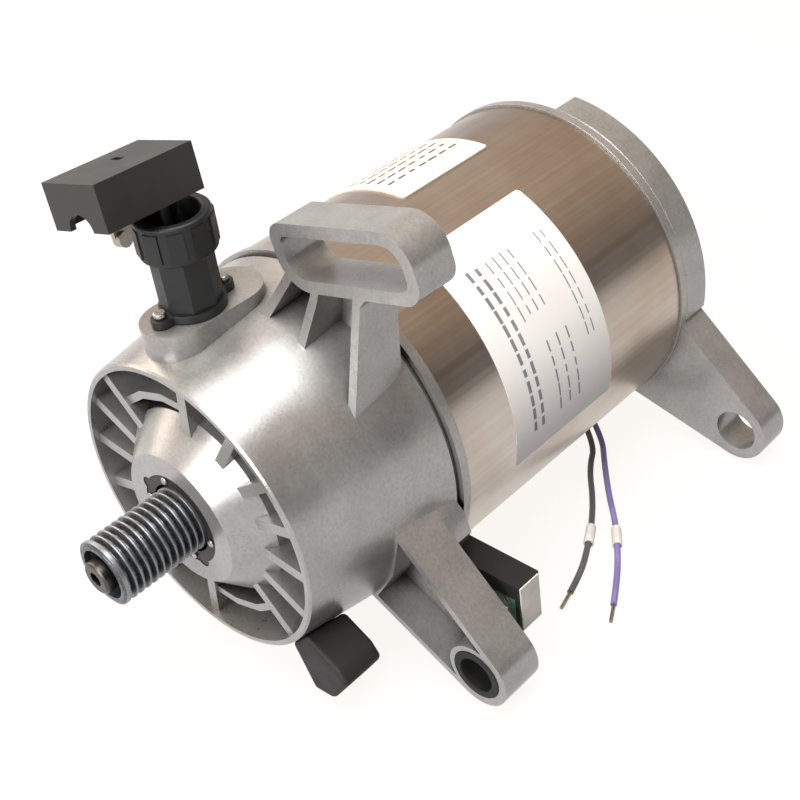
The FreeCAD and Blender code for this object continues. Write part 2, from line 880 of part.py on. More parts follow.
def tension_loop():
    """The loop that is cast on the front shield, with its three fins and the web that closes them at the back."""
    body = new_body("loop_blank")
    left = dim.loop_left_x, dim.loop_left_z
    right = dim.loop_right_x, dim.loop_right_z
    loop_front = dim.rim_setback + dim.loop_setback
    loop_back = loop_front + dim.loop_depth
    fin_foot = dim.rim_setback + dim.fin_foot_setback
    sketch = new_sketch(body, "XZ", loop_front)
    draw_stadium(sketch, left, right, dim.loop_radius)
    pad(body, sketch, dim.loop_depth)
    for start, end, radius in loop_corners(dim.loop_radius, dim.loop_corner_left, dim.loop_corner_right):
        sketch = new_sketch(body, "XZ", loop_front)
        draw_stadium(sketch, start, end, radius)
        pad(body, sketch, dim.loop_depth)
    for x, lean, low, high in (
        (dim.fin_left_x, dim.fin_left_lean, dim.fin_left_low, dim.fin_left_high),
        (dim.fin_mid_x, dim.fin_mid_lean, dim.fin_mid_low, dim.fin_mid_high),
        (dim.fin_right_x, dim.fin_right_lean, dim.fin_right_low, dim.fin_right_high),
    ):
        sketch = new_sketch(body, "YZ", x)
        lean_back(sketch, lean)
        stretch = 1 / math.cos(math.radians(lean.value))
        draw_polygon(sketch, [
            (fin_foot, low * stretch),
            (loop_back, low * stretch),
            (loop_back, high * stretch),
            (loop_front, high * stretch),
            (loop_front, (high - dim.fin_brow) * stretch),
        ])
        pad(body, sketch, dim.fin_thick, False)
    sketch = new_sketch(body, "XZ", loop_back - dim.loop_web)
    draw_polygon(sketch, [
        (dim.web_left_x, dim.web_left_low),
        (dim.web_mid_x, dim.web_mid_low),
        (dim.web_right_x, dim.web_right_low),
        (dim.web_right_top_x, dim.web_right_top),
        (dim.web_mid_top_x, dim.web_mid_top),
        (dim.web_left_top_x, dim.web_left_top),
    ])
    pad(body, sketch, dim.loop_web)
    # fillet where the right fin meets the loop
    sketch = new_sketch(body, "XZ", loop_front)
    head = dim.fin_right_x + dim.fin_thick
    corner = head + dim.fin_fillet_reach, dim.loop_left_z - dim.fin_fillet_drop
    draw_gusset(sketch, corner, (-0.1, -1), (1, 0.234), dim.fin_fillet)
    pad(body, sketch, dim.loop_depth)
    # slot
    sketch = new_sketch(body, "XZ", loop_front - 1)
    draw_stadium(sketch, left, right, dim.loop_slot_radius)
    pocket(body, sketch, dim.loop_depth + 2)
    for start, end, radius in loop_corners(dim.loop_slot_radius, dim.slot_corner_left, dim.slot_corner_right):
        sketch = new_sketch(body, "XZ", loop_front - 1)
        draw_stadium(sketch, start, end, radius)
        pocket(body, sketch, dim.loop_depth + 2)
    return keep(cut(body, casting_form(dim.seat_gap)), "tension_loop")


def yoke_tube():
    body = new_body("tube_blank")
    turn(body, [
        (at["tube_front"], tube_bore),
        (at["tube_front"], dim.tube_radius),
        (at["tube_back"], dim.tube_radius),
        (at["tube_back"], tube_bore),
    ])
    hole = round_bar(dim.lead_hole_radius, 0, 20)
    place_on_lead_exit(hole, dim.tube_radius - 10)
    drilled = cut(body, hole)
    return keep(drilled, "yoke_tube")


def place_on_lead_exit(bar, reach):
    """Turns a bar so that it points out of the lead exit, starting at the given radius."""
    angle = math.radians(read("lead_exit_angle"))
    outward = FreeCAD.Vector(math.cos(angle), 0, math.sin(angle))
    bar.setExpression("Placement.Base.y", None)
    bar.Placement.Rotation = FreeCAD.Rotation(FreeCAD.Vector(0, 0, 1), outward)
    bind(bar, "Placement.Base.x", reach * round(outward.x, 6))
    bind(bar, "Placement.Base.y", lead_exit)
    bind(bar, "Placement.Base.z", reach * round(outward.z, 6))


def rear_end_shield():
    body = new_body("rear_end_shield")
    back = at["tube_back"] + dim.rear_depth
    boss_back = back + dim.rear_boss_proud
    turn(body, [
        (at["tube_back"] - dim.spigot_length, 0),
        (at["tube_back"] - dim.spigot_length, spigot_radius),
        (at["tube_back"], spigot_radius),
        (at["tube_back"], bead_radius),
        (at["tube_back"] + dim.bead_width, bead_radius),
        (at["tube_back"] + dim.bead_width, rear_body_radius),
        (back - dim.rear_edge, rear_body_radius),
        (back, rear_body_radius - dim.rear_edge),
        (back, dim.rear_boss_radius),
        (boss_back - 2, dim.rear_boss_radius),
        (boss_back, dim.rear_boss_radius - 2),
        (boss_back, 0),
    ])
    pivot = dim.pivot_x, dim.pivot_z
    arm_front = at["tube_back"] + dim.rear_arm_proud
    sketch = new_sketch(body, "XZ", arm_front)
    top = dim.rear_arm_top_x, dim.rear_arm_top_z
    low = dim.rear_arm_low_x, dim.rear_arm_low_z
    draw_arm(sketch, pivot, dim.arm_tip_radius, top, low)
    pad(body, sketch, dim.rear_arm_depth)
    # raised pad round the upper side
    sketch = new_sketch(body, "XZ", at["tube_back"] + dim.bead_width)
    start = math.radians(read("rear_pad_start"))
    end = math.radians(read("rear_pad_start") + read("rear_pad_sweep"))
    draw_sector(sketch, dim.tube_radius + dim.rear_pad_proud, start, end)
    pad(body, sketch, dim.rear_depth - dim.bead_width)
    bore_end = at["rear_bore_end"]
    race_front = at["rear_race"] - 2
    turn(body, [
        (at["tube_back"] - dim.spigot_length - 1, 0),
        (at["tube_back"] - dim.spigot_length - 1, spigot_bore),
        (at["rear_plate_front"], spigot_bore),
        (at["rear_plate_front"], dim.rear_boss_radius),
        (race_front, dim.rear_boss_radius),
        (race_front, dim.rear_race_radius),
        (bore_end, dim.rear_race_radius),
        (bore_end, 0),
    ], "Groove")
    sketch = new_sketch(body, "XZ", arm_front - 1)
    draw_circle(sketch, pivot, dim.rear_pivot_bore)
    pocket(body, sketch, dim.rear_arm_depth + 2)
    sketch = new_sketch(body, "XZ", at["rear_plate_front"] - 1)
    draw_circle(sketch, bolt_place(0), dim.bolt_radius + dim.part_gap / 2)
    repeat_round(body, pocket(body, sketch, dim.rear_plate + 2), 4)
    return keep(body, "rear_end_shield")


def draw_sector(sketch, radius, start, end):
    """A slice of a disc between two angles, with its point on the shaft axis."""
    reach = as_size(radius).value
    corners = []
    for angle in (start, end):
        corners.append((radius * round(math.cos(angle), 6), radius * round(math.sin(angle), 6)))
    arc = draw_arc(sketch, (0, 0), reach, start, end)
    side = sketch.GeometryCount
    middle = FreeCAD.Vector(0, 0, 0)
    sketch.addGeometry(Part.LineSegment(flat(corners[1]), middle), False)
    sketch.addGeometry(Part.LineSegment(middle, flat(corners[0])), False)
    sketch.addConstraint(Sketcher.Constraint("Coincident", arc, 2, side, 1))
    sketch.addConstraint(Sketcher.Constraint("Coincident", side, 2, side + 1, 1))
    sketch.addConstraint(Sketcher.Constraint("Coincident", side + 1, 2, arc, 1))
    sketch.addConstraint(Sketcher.Constraint("Coincident", arc, 3, -1, 1))
    sketch.addConstraint(Sketcher.Constraint("Coincident", side, 2, -1, 1))
    fix_point(sketch, arc, 1, corners[0])
    fix(sketch, "DistanceX", (-1, 1, arc, 2), corners[1][0])


def rotor_shaft():
    body = new_body("rotor_shaft")
    pulley_back = dim.pulley_setback + dim.pulley_width
    nose_back = dim.pulley_setback + dim.pulley_recess_deep
    rear_step = at["rear_race"]
    rear_end = at["rear_bore_end"] - dim.part_gap
    turn(body, [
        (0, 0),
        (0, dim.nose_radius - 0.6),
        (0.6, dim.nose_radius),
        (nose_back, dim.nose_radius),
        (nose_back, dim.pulley_bore),
        (pulley_back, dim.pulley_bore),
        (pulley_back, dim.front_seat_radius),
        (at["front_shoulder"], dim.front_seat_radius),
        (at["front_shoulder"], dim.core_shaft_radius),
        (rear_step, dim.core_shaft_radius),
        (rear_step, dim.rear_seat_radius),
        (rear_end, dim.rear_seat_radius),
        (rear_end, 0),
    ])
    sketch = new_sketch(body, "XZ", 0)
    draw_circle(sketch, (0, 0), dim.end_thread_radius)
    pocket(body, sketch, dim.end_thread_deep)
    return keep(body, "rotor_shaft")


def drive_pulley():
    body = new_body("drive_pulley")
    front = dim.pulley_setback
    back = front + dim.pulley_width
    bore = dim.pulley_bore + dim.seat_gap
    turn(body, [
        (front, dim.pulley_recess_radius),
        (front, dim.pulley_radius - 1),
        (front + 0.5, dim.pulley_radius - 0.5),
        (front + 0.5, dim.pulley_radius),
        (back - 0.5, dim.pulley_radius),
        (back, dim.pulley_radius - 0.5),
        (back, bore),
        (front + dim.pulley_recess_deep, bore),
        (front + dim.pulley_recess_deep, dim.pulley_recess_radius),
    ])
    half = dim.belt_rib_pitch * 0.42
    land = (dim.pulley_width - dim.belt_rib_pitch * (dim.belt_rib_count - 1)) / 2
    middle = front + land
    root = dim.pulley_radius - dim.belt_groove_deep
    groove = turn(body, [
        (middle - half, dim.pulley_radius + 0.2),
        (middle - half * 0.25, root),
        (middle + half * 0.25, root),
        (middle + half, dim.pulley_radius + 0.2),
    ], "Groove")
    repeat_along(body, groove, dim.belt_rib_pitch, dim.belt_rib_count)
    return keep(body, "drive_pulley")


def bearings():
    front = at["front_race"]
    split = dim.front_split_radius
    outer = ring(dim.front_race_radius - dim.seat_gap, split + dim.running_gap, front, dim.front_race_wide)
    keep(outer, "front_bearing_outer")
    inner = ring(split, dim.front_seat_radius + dim.seat_gap, front, dim.front_race_wide)
    keep(inner, "front_bearing_inner")
    rear = at["rear_race"]
    split = dim.rear_split_radius
    outer = ring(dim.rear_race_radius - dim.seat_gap, split + dim.running_gap, rear, dim.rear_race_wide)
    keep(outer, "rear_bearing_outer")
    inner = ring(split, dim.rear_seat_radius + dim.seat_gap, rear, dim.rear_race_wide)
    keep(inner, "rear_bearing_inner")
    station = rear + dim.rear_race_wide
    washer = ring(dim.rear_race_radius - 0.4, dim.rear_split_radius + 2, station, dim.wave_washer_thick)
    keep(washer, "rear_wave_washer")


def front_circlip():
    """The ring behind the front bearing, with its two eyes at the gap, and the seal ring in the face."""
    station = at["front_shoulder"]
    outer = dim.front_race_radius + dim.circlip_groove_deep - 0.1
    band = ring(outer, outer - dim.circlip_band, station, dim.circlip_thick)
    gap = block(-4, station - 1, -30, 8, dim.circlip_thick + 2, 20)
    clip = cut(band, gap)
    eyes, holes = [], []
    for side in (-1, 1):
        eye = round_bar(2.4, station, dim.circlip_thick)
        bind(eye, "Placement.Base.x", side * 5.2)
        bind(eye, "Placement.Base.z", -(outer - dim.circlip_band - 0.6))
        eyes.append(eye)
        hole = round_bar(0.9, station - 1, dim.circlip_thick + 2)
        bind(hole, "Placement.Base.x", side * 5.2)
        bind(hole, "Placement.Base.z", -(outer - dim.circlip_band - 0.9))
        holes.append(hole)
    keep(cut(join(clip, *eyes), *holes), "front_circlip")

    front = at["hub_face"] + 0.2
    pieces = [round_bar(dim.face_bore - dim.seat_gap, front, dim.seal_thick)]
    for angle in SEAL_LUGS:
        lug = round_bar(dim.face_notch_radius - dim.seat_gap, front, dim.seal_thick)
        place_round(lug, dim.face_notch_reach, angle)
        pieces.append(lug)
    seal = cut(join(*pieces), round_bar(dim.seal_bore, front - 1, dim.seal_thick + 2))
    keep(seal, "seal_ring")
    pins = []
    for angle in SEAL_PINS:
        pin = round_bar(dim.seal_pin_radius, front - dim.seal_pin_head, dim.seal_pin_head)
        place_round(pin, dim.seal_pin_circle + 0.6, angle)
        pins.append(pin)
    keep(join(*pins), "seal_rivets")


def place_round(bar, reach, angle):
    bind(bar, "Placement.Base.x", round_place(reach, angle)[0])
    bind(bar, "Placement.Base.z", round_place(reach, angle)[1])


def armature():
    front = dim.rim_setback + dim.core_setback
    bore = dim.core_shaft_radius + dim.seat_gap
    body = new_body("armature_core")
    turn(body, [
        (front, bore),
        (front, core_radius),
        (front + dim.core_length, core_radius),
        (front + dim.core_length, bore),
    ])
    sketch = new_sketch(body, "XZ", front - 1)
    half = dim.slot_width / 2
    draw_polygon(sketch, [
        (-half, core_radius - dim.slot_deep),
        (half, core_radius - dim.slot_deep),
        (half, core_radius + 1),
        (-half, core_radius + 1),
    ])
    repeat_round(body, pocket(body, sketch, dim.core_length + 2), dim.core_slots)
    keep(body, "armature_core")

    body = new_body("armature_winding")
    inner = dim.core_shaft_radius + 3
    overhang = dim.winding_overhang
    rear = front + dim.core_length
    turn(body, [
        (front - overhang, inner),
        (front - overhang, winding_radius - 3),
        (front - overhang + 3, winding_radius),
        (front, winding_radius),
        (front, inner),
    ])
    sketch = new_sketch(body, "XZ", front - 1)
    half = dim.slot_width / 2 - 0.1
    draw_polygon(sketch, [
        (-half, core_radius - dim.slot_deep + 0.1),
        (half, core_radius - dim.slot_deep + 0.1),
        (half, winding_radius),
        (-half, winding_radius),
    ])
    repeat_round(body, pad(body, sketch, dim.core_length + 2), dim.core_slots)
    turn(body, [
        (rear, inner),
        (rear, winding_radius),
        (rear + overhang - 3, winding_radius),
        (rear + overhang, winding_radius - 3),
        (rear + overhang, inner),
    ])
    keep(body, "armature_winding")

    body = new_body("commutator")
    front = dim.rim_setback + dim.commutator_setback
    back = front + dim.commutator_length
    turn(body, [
        (front, bore),
        (front, dim.commutator_radius),
        (back - 3, dim.commutator_radius),
        (back - 3, dim.commutator_radius + 2),
        (back, dim.commutator_radius + 2),
        (back, bore),
    ])
    keep(body, "commutator")

    body = new_body("encoder_disc")
    front = dim.rim_setback + dim.disc_setback
    turn(body, [
        (front - dim.disc_hub_long, bore),
        (front - dim.disc_hub_long, bore + dim.disc_hub_wall),
        (front, bore + dim.disc_hub_wall),
        (front, disc_radius),
        (front + dim.disc_thick, disc_radius),
        (front + dim.disc_thick, bore),
    ])
    keep(body, "encoder_disc")


def field_magnets():
    station = dim.rim_setback + dim.magnet_setback
    field = ring(tube_bore - dim.seat_gap, magnet_bore, station, dim.magnet_length)
    spaces = []
    for angle in (BOLT_ANGLE, BOLT_ANGLE + 90):
        reach = dim.tube_radius + 1
        space = block(-reach, station - 1, 0, reach * 2, dim.magnet_length + 2, dim.magnet_space)
        space.Placement.Rotation = FreeCAD.Rotation(FreeCAD.Vector(0, 1, 0), -angle)
        half = dim.magnet_space / 2
        bind(space, "Placement.Base.x", round_place(half, angle)[1] - round_place(reach, angle)[0])
        bind(space, "Placement.Base.z", -(round_place(half, angle)[0] + round_place(reach, angle)[1]))
        spaces.append(space)
    return keep(cut(field, *spaces), "field_magnets")


def brush_gear():
    front = dim.rim_setback + dim.brush_setback
    box_front = front - dim.box_wall
    box_back = front + dim.brush_width + dim.box_wall
    plate = ring(tube_bore - dim.seat_gap, dim.commutator_radius + 6, box_back, dim.brush_plate_thick)
    holes = []
    for index in range(4):
        hole = round_bar(dim.bolt_radius + dim.part_gap / 2, box_back - 1, dim.brush_plate_thick + 2)
        bind(hole, "Placement.Base.x", bolt_place(index)[0])
        bind(hole, "Placement.Base.z", bolt_place(index)[1])
        holes.append(hole)
    keep(cut(plate, *holes), "brush_plate")

    tip = dim.commutator_radius + dim.running_gap
    box_low = dim.commutator_radius + 3
    boxes, brushes, springs = [], [], []
    for side in (1, -1):
        breadth = dim.brush_breadth + dim.box_wall * 2
        shell = side_block(side, box_low, box_front, breadth, box_back - box_front, dim.box_length)
        inside = side_block(
            side, box_low - 1, front - dim.seat_gap, dim.brush_breadth + dim.seat_gap * 2,
            dim.brush_width + dim.seat_gap * 2, dim.box_length + 1 - dim.box_wall,
        )
        boxes.append(cut(shell, inside))
        brush = side_block(side, tip - 1, front, dim.brush_breadth, dim.brush_width, dim.brush_length + 1)
        brushes.append(cut(brush, round_bar(tip, front - 1, dim.brush_width + 2)))
        spring = doc.addObject("Part::Cylinder", "Coil")
        bind(spring, "Radius", dim.spring_radius)
        foot = tip + dim.brush_length
        head = box_low + dim.box_length - dim.box_wall
        bind(spring, "Height", head - foot)
        bind(spring, "Placement.Base.y", front + dim.brush_width / 2)
        bind(spring, "Placement.Base.z", foot if side == 1 else -head)
        springs.append(spring)
    keep(join(*boxes), "brush_boxes")
    keep(join(*brushes), "brushes")
    keep(join(*springs), "brush_springs")


def side_block(side, reach, station, breadth, width, length):
    """A block standing out from the shaft, up for side 1 and down for side -1."""
    low = reach if side == 1 else -(reach + length)
    return block(breadth / -2, station, low, breadth, width, length)


def tie_bolts():
    front = at["recess_floor"] + 2
    back = at["tube_back"] + dim.rear_depth
    bolts = []
    for index in range(4):
        shank = round_bar(dim.bolt_radius, front, back - front)
        head = round_bar(dim.bolt_head_radius, back, dim.bolt_head)
        for piece in (shank, head):
            bind(piece, "Placement.Base.x", bolt_place(index)[0])
            bind(piece, "Placement.Base.z", bolt_place(index)[1])
        bolts += [shank, head]
    return keep(join(*bolts), "tie_bolts")


def gland():
    x = dim.gland_x
    y = gland_station
    low = dim.gland_pad_top
    reach = dim.gland_lobe_reach
    body = new_body("gland_flange")
    sketch = new_sketch(body, "XY", low)
    draw_stadium(sketch, (x, y - reach), (x, y + reach), dim.gland_lobe_radius)
    pad(body, sketch, dim.gland_flange, False)
    sketch = new_sketch(body, "XY", low)
    draw_circle(sketch, (x, y), dim.gland_waist_radius)
    pad(body, sketch, dim.gland_flange, False)
    sketch = new_sketch(body, "XY", low + dim.gland_flange + 1)
    draw_circle(sketch, (x, y), dim.gland_bore)
    pocket(body, sketch, dim.gland_flange + 2)
    keep(body, "gland_flange")

    top = low + dim.gland_flange
    stem = doc.addObject("Part::Prism", "Stem")
    bind(stem, "Polygon", dim.gland_flats)
    bind(stem, "Circumradius", dim.gland_body_radius)
    bind(stem, "Height", dim.gland_body_height)
    bind(stem, "Placement.Base.x", x)
    bind(stem, "Placement.Base.y", y)
    bind(stem, "Placement.Base.z", top)
    stem.Placement.Rotation = FreeCAD.Rotation(FreeCAD.Vector(0, 0, 1), 10)
    ways = []
    for row in (0, 1):
        ways.append(plug_lead(row, top, dim.plug_lead_radius + dim.seat_gap, dim.gland_body_height + 1))
    stem = cut(stem, post(x, y, top - 1, dim.gland_bore, dim.gland_body_height + 1 - dim.gland_seal), *ways)
    keep(stem, "gland_body")
    cap_low = top + dim.gland_body_height
    cap = cut(post(x, y, cap_low, dim.gland_cap_radius, dim.gland_cap_height),
              post(x, y, cap_low - 1, dim.gland_cap_bore, dim.gland_cap_height + 2))
    keep(cap, "gland_cap")
    heads = []
    for side in (-1, 1):
        heads.append(post(x, y + side * (reach + 0.2), top, dim.gland_screw_radius, dim.gland_screw_head))
    keep(join(*heads), "gland_screws")


def plug_lead(row, low, radius, length):
    """One of the two short leads between the gland and the plug, or the way for it."""
    return post(dim.gland_x + 1, gland_station + dim.plug_lead_spacing * (0.5 - row), low, radius, length)


def plug():
    x = dim.plug_x
    y = dim.rim_setback + dim.plug_setback
    leads, lead_ways = [], []
    low = dim.gland_pad_top + dim.gland_flange + 2
    for row in (0, 1):
        length = dim.plug_floor - low + 6
        leads.append(plug_lead(row, low, dim.plug_lead_radius, length))
        lead_ways.append(plug_lead(row, low, dim.plug_lead_radius + dim.seat_gap, length + 0.2))
    keep(join(*leads), "plug_leads")

    wide, long, tall, wall = dim.plug_wide, dim.plug_long, dim.plug_tall, dim.plug_shell
    shell = block(wide / -2, long / -2, 0, wide, long, tall)
    hollow = block(wide / -2 + wall, long / -2 + wall, -1, wide - wall * 2, long - wall * 2, tall + 1 - wall)
    notch = round_bar(dim.plug_notch_radius, long / -2 - 1, wall + 2)
    slot = block(dim.plug_slot_long * -1.1, 1, tall - wall - 1, dim.plug_slot_long, dim.plug_slot_wide, wall + 2)
    core = block(-2.5, -1.5, 1, dim.plug_core_wide, dim.plug_core_long, tall - 2)
    housing = join(cut(shell, hollow, notch, slot), core)
    blade_x = wide / 2 - wall - dim.seat_gap - dim.plug_blade
    blade = block(
        blade_x, long / -2 + wall + 0.8, -dim.plug_blade_drop,
        dim.plug_blade, dim.plug_blade_wide, dim.plug_blade_long,
    )
    eye = doc.addObject("Part::Cylinder", "Eye")
    eye.Placement.Rotation = FreeCAD.Rotation(FreeCAD.Vector(0, 1, 0), 90)
    bind(eye, "Radius", dim.plug_eye_radius)
    bind(eye, "Height", dim.plug_blade + 1.4)
    bind(eye, "Placement.Base.x", blade_x)
    bind(eye, "Placement.Base.y", long / -2 + wall + 2.8)
    bind(eye, "Placement.Base.z", -dim.plug_blade_drop)
    contacts = join(blade, eye)
    turned = FreeCAD.Rotation(FreeCAD.Vector(0, 0, 1), read("plug_yaw"))
    turned = turned.multiply(FreeCAD.Rotation(FreeCAD.Vector(0, 1, 0), read("plug_lean")))
    turned = turned.multiply(FreeCAD.Rotation(FreeCAD.Vector(1, 0, 0), read("plug_pitch")))
    for piece in (housing, contacts):
        piece.Placement.Rotation = turned
        bind(piece, "Placement.Base.x", x)
        bind(piece, "Placement.Base.y", y)
        bind(piece, "Placement.Base.z", dim.plug_floor)
    keep(cut(housing, *lead_ways), "plug_housing")
    keep(contacts, "plug_contacts")


def casting_form(gap):
    """The outside of the front casting, with a gap, to shape what lies against it."""
    cone = doc.addObject("Part::Cone", "Form")
    cone.Placement.Rotation = FreeCAD.Rotation(FreeCAD.Vector(1, 0, 0), -90)
    length = dim.shield_length - dim.collar_width
    bind(cone, "Radius1", dim.rim_radius + gap)
    bind(cone, "Radius2", flare(length) + gap)
    bind(cone, "Height", length)
    bind(cone, "Placement.Base.y", dim.rim_setback)
    band = round_bar(collar_radius + gap, at["tube_front"] - dim.collar_width, dim.collar_width + 30)
    return join(cone, band)


def rubber_buffer():
    body = new_body("buffer_block")
    sketch = new_sketch(body, "XZ", dim.rim_setback + dim.buffer_setback)
    draw_polygon(sketch, [
        (dim.buffer_root_x, dim.buffer_root_z),
        (dim.buffer_heel_x, dim.buffer_heel_z),
        (dim.buffer_foot_x, dim.buffer_foot_z),
        (dim.buffer_toe_x, dim.buffer_toe_z),
        (dim.buffer_tip_x, dim.buffer_tip_z),
        (dim.buffer_brow_x, dim.buffer_brow_z),
    ])
    pad(body, sketch, dim.buffer_depth)
    return keep(cut(body, casting_form(dim.seat_gap)), "rubber_buffer")


def pivot_bush():
    station = dim.rim_setback + dim.front_arm_setback
    bush = ring(dim.bush_radius - dim.seat_gap, dim.bush_bore, station - 0.4, dim.front_arm_depth + 0.8)
    bind(bush, "Placement.Base.x", dim.pivot_x)
    bind(bush, "Placement.Base.z", dim.pivot_z)
    return keep(bush, "pivot_bush")


def encoder():
    front = dim.rim_setback + dim.encoder_setback
    low, top = dim.encoder_low_z, dim.encoder_top_z
    root, end = dim.encoder_root_x, dim.encoder_end_x
    tall = top - low - dim.encoder_floor - dim.encoder_roof
    shell = block(root, front, low, end - root, dim.encoder_depth, top - low)
    inside = block(
        root - 1, front - 1, low + dim.encoder_floor,
        end - root + 1 - dim.encoder_end_wall, dim.encoder_depth + 1 - dim.encoder_back, tall,
    )
    keep(cut(shell, inside, casting_form(dim.seat_gap)), "encoder_housing")
    board_front = dim.rim_setback + dim.board_setback
    board_low = low + dim.encoder_floor
    board_back = board_front + dim.board_thick
    rise = board_low + dim.board_step
    tongue = block(dim.board_inner_x, board_front, rise, dim.board_tongue, dim.board_thick, tall - dim.board_step)
    wide = end - dim.encoder_end_wall - dim.board_step_x
    plate = block(dim.board_step_x, board_front, board_low, wide, dim.board_thick, tall)
    keep(join(tongue, plate), "encoder_board")
    side = dim.socket_side
    socket = block(
        dim.socket_x, board_front - dim.socket_thick, board_low + dim.socket_rise, side, dim.socket_thick, side
    )
    deep = dim.rim_setback + dim.disc_setback - dim.part_gap - board_back
    sensor = block(dim.board_inner_x + 1, board_back, rise + 1, dim.sensor_wide, deep, dim.sensor_tall)
    keep(join(socket, sensor), "encoder_socket")


# Rear leads: points that the leads run past, on the surface the motor stands on.
LEAD_LEVEL = -53
VIOLET_WAY = [(42, 131.5), (53, 119), (62.5, 109.5), (70.5, 99.5), (77.5, 89.5), (83, 80)]
GREY_WAY = [(39.5, 126.5), (49.5, 115), (56.5, 105), (62, 95.5), (67, 85.5), (69.6, 76.5)]


def lead_points(way, side):
    angle = math.radians(read("lead_exit_angle"))
    across = lead_exit.value - read("rim_setback") + side * read("lead_spacing") / 2
    start = read("tube_radius") - read("tube_wall") - 1
    drop = LEAD_LEVEL / math.sin(angle)
    points = []
    for reach in (start, drop):
        points.append((reach * math.cos(angle), across, reach * math.sin(angle)))
    points += [(x, y, LEAD_LEVEL) for x, y in way]
    return [FreeCAD.Vector(x, y + read("rim_setback"), z) for x, y, z in points]


def lead_path(points):
    """Straight runs joined by arcs that touch both runs."""
    edges = []
    radii = []
    here = points[0]
    for index in range(1, len(points) - 1):
        before, corner, after = points[index - 1], points[index], points[index + 1]
        into = (corner - before).normalize()
        out = (after - corner).normalize()
        half = into.getAngle(out) / 2
        trim = 0.45 * min((corner - before).Length, (after - corner).Length)
        radii.append(trim / math.tan(half))
        start = corner - into * trim
        end = corner + out * trim
        inward = (out - into).normalize()
        sagitta = radii[-1] / math.cos(half) - radii[-1]
        middle = corner + inward * sagitta
        edges.append(Part.makeLine(here, start))
        edges.append(Part.Arc(start, middle, end).toShape())
        here = end
    edges.append(Part.makeLine(here, points[-1]))
    return Part.Wire(edges), radii


def lead(name, way, side):
    points = lead_points(way, side)
    wire, radii = lead_path(points)
    along = (points[1] - points[0]).normalize()
    section = Part.Wire([Part.makeCircle(read("lead_radius"), points[0], along)])
    tube = doc.addObject("Part::Feature", name)
    tube.Shape = wire.makePipeShell([section], True, True)
    print(name, "length", round(wire.Length, 1), "radii", [round(radius, 1) for radius in radii])
    straight = math.pi * read("lead_radius") ** 2 * wire.Length
    print(name, "volume ratio", round(tube.Shape.Volume / straight, 4))
    keep(tube, name)
    return points


def lead_fittings():
    grommet = doc.addObject("Part::Cylinder", "Grommet")
    place_on_lead_exit(grommet, dim.tube_radius - dim.tube_wall - 1)
    bind(grommet, "Radius", dim.lead_hole_radius - dim.seat_gap)
    bind(grommet, "Height", dim.tube_wall + 2)
    lip = doc.addObject("Part::Cylinder", "Lip")
    place_on_lead_exit(lip, dim.tube_radius + 0.1)
    bind(lip, "Radius", dim.grommet_radius)
    bind(lip, "Height", 1.2)
    sleeve = join(grommet, lip)
    for side in (-1, 1):
        hole = doc.addObject("Part::Cylinder", "LeadWay")
        place_on_lead_exit(hole, dim.tube_radius - dim.tube_wall - 3)
        bind(hole, "Radius", dim.lead_radius + dim.seat_gap)
        bind(hole, "Height", 20)
        bind(hole, "Placement.Base.y", lead_exit + side * dim.lead_spacing / 2)
        sleeve = cut(sleeve, hole)
    keep(sleeve, "lead_grommet")


def lead_ends(colour, points):
    """A marker sleeve in the middle of the fourth run and the bare strands past the end."""
    before, after = points[4], points[5]
    along = (after - before).normalize()
    middle = (before + after) * 0.5
    tube = doc.addObject("Part::Feature", colour + "_sleeve")
    half = read("sleeve_length") * 0.5
    outer = Part.makeCylinder(read("sleeve_radius"), half * 2, middle - along * half, along)
    inner = Part.makeCylinder(read("lead_radius") + read("seat_gap"), half * 2, middle - along * half, along)
    tube.Shape = outer.cut(inner)
    keep(tube, colour + "_sleeve")
    along = (points[-1] - points[-2]).normalize()
    strands = doc.addObject("Part::Feature", colour + "_strands")
    strands.Shape = Part.makeCylinder(read("strand_radius"), read("strand_length"), points[-1], along)
    keep(strands, colour + "_strands")


def write_parts():
    doc.recompute()
    os.makedirs("parts", exist_ok=True)
    for item in doc.Objects:
        if "Invalid" in item.State or "Error" in item.State:
            raise RuntimeError(f"{item.Label} ({item.Name}) did not compute: {item.State}")
    for node in nodes:
        shape = node.Shape
        if shape.isNull() or not shape.isValid() or not shape.Solids:
            raise RuntimeError(f"{node.Label} has no valid solid")
        shape.exportStep(f"parts/{node.Label}.step")
        box = shape.BoundBox
        print(node.Label, len(shape.Solids), round(shape.Volume, 1),
              [round(v, 2) for v in (box.XMin, box.XMax, box.YMin, box.YMax, box.ZMin, box.ZMax)])


front_end_shield()
tension_loop()
yoke_tube()
rear_end_shield()
rotor_shaft()
drive_pulley()
bearings()
front_circlip()
armature()
field_magnets()
brush_gear()
tie_bolts()
gland()
plug()
rubber_buffer()
pivot_bush()
encoder()
lead_fittings()
lead_ends("violet", lead("violet_lead", VIOLET_WAY, 1))
lead_ends("grey", lead("grey_lead", GREY_WAY, -1))
write_parts()
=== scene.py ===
import math

import bmesh
import bpy
from mathutils import Matrix, Vector


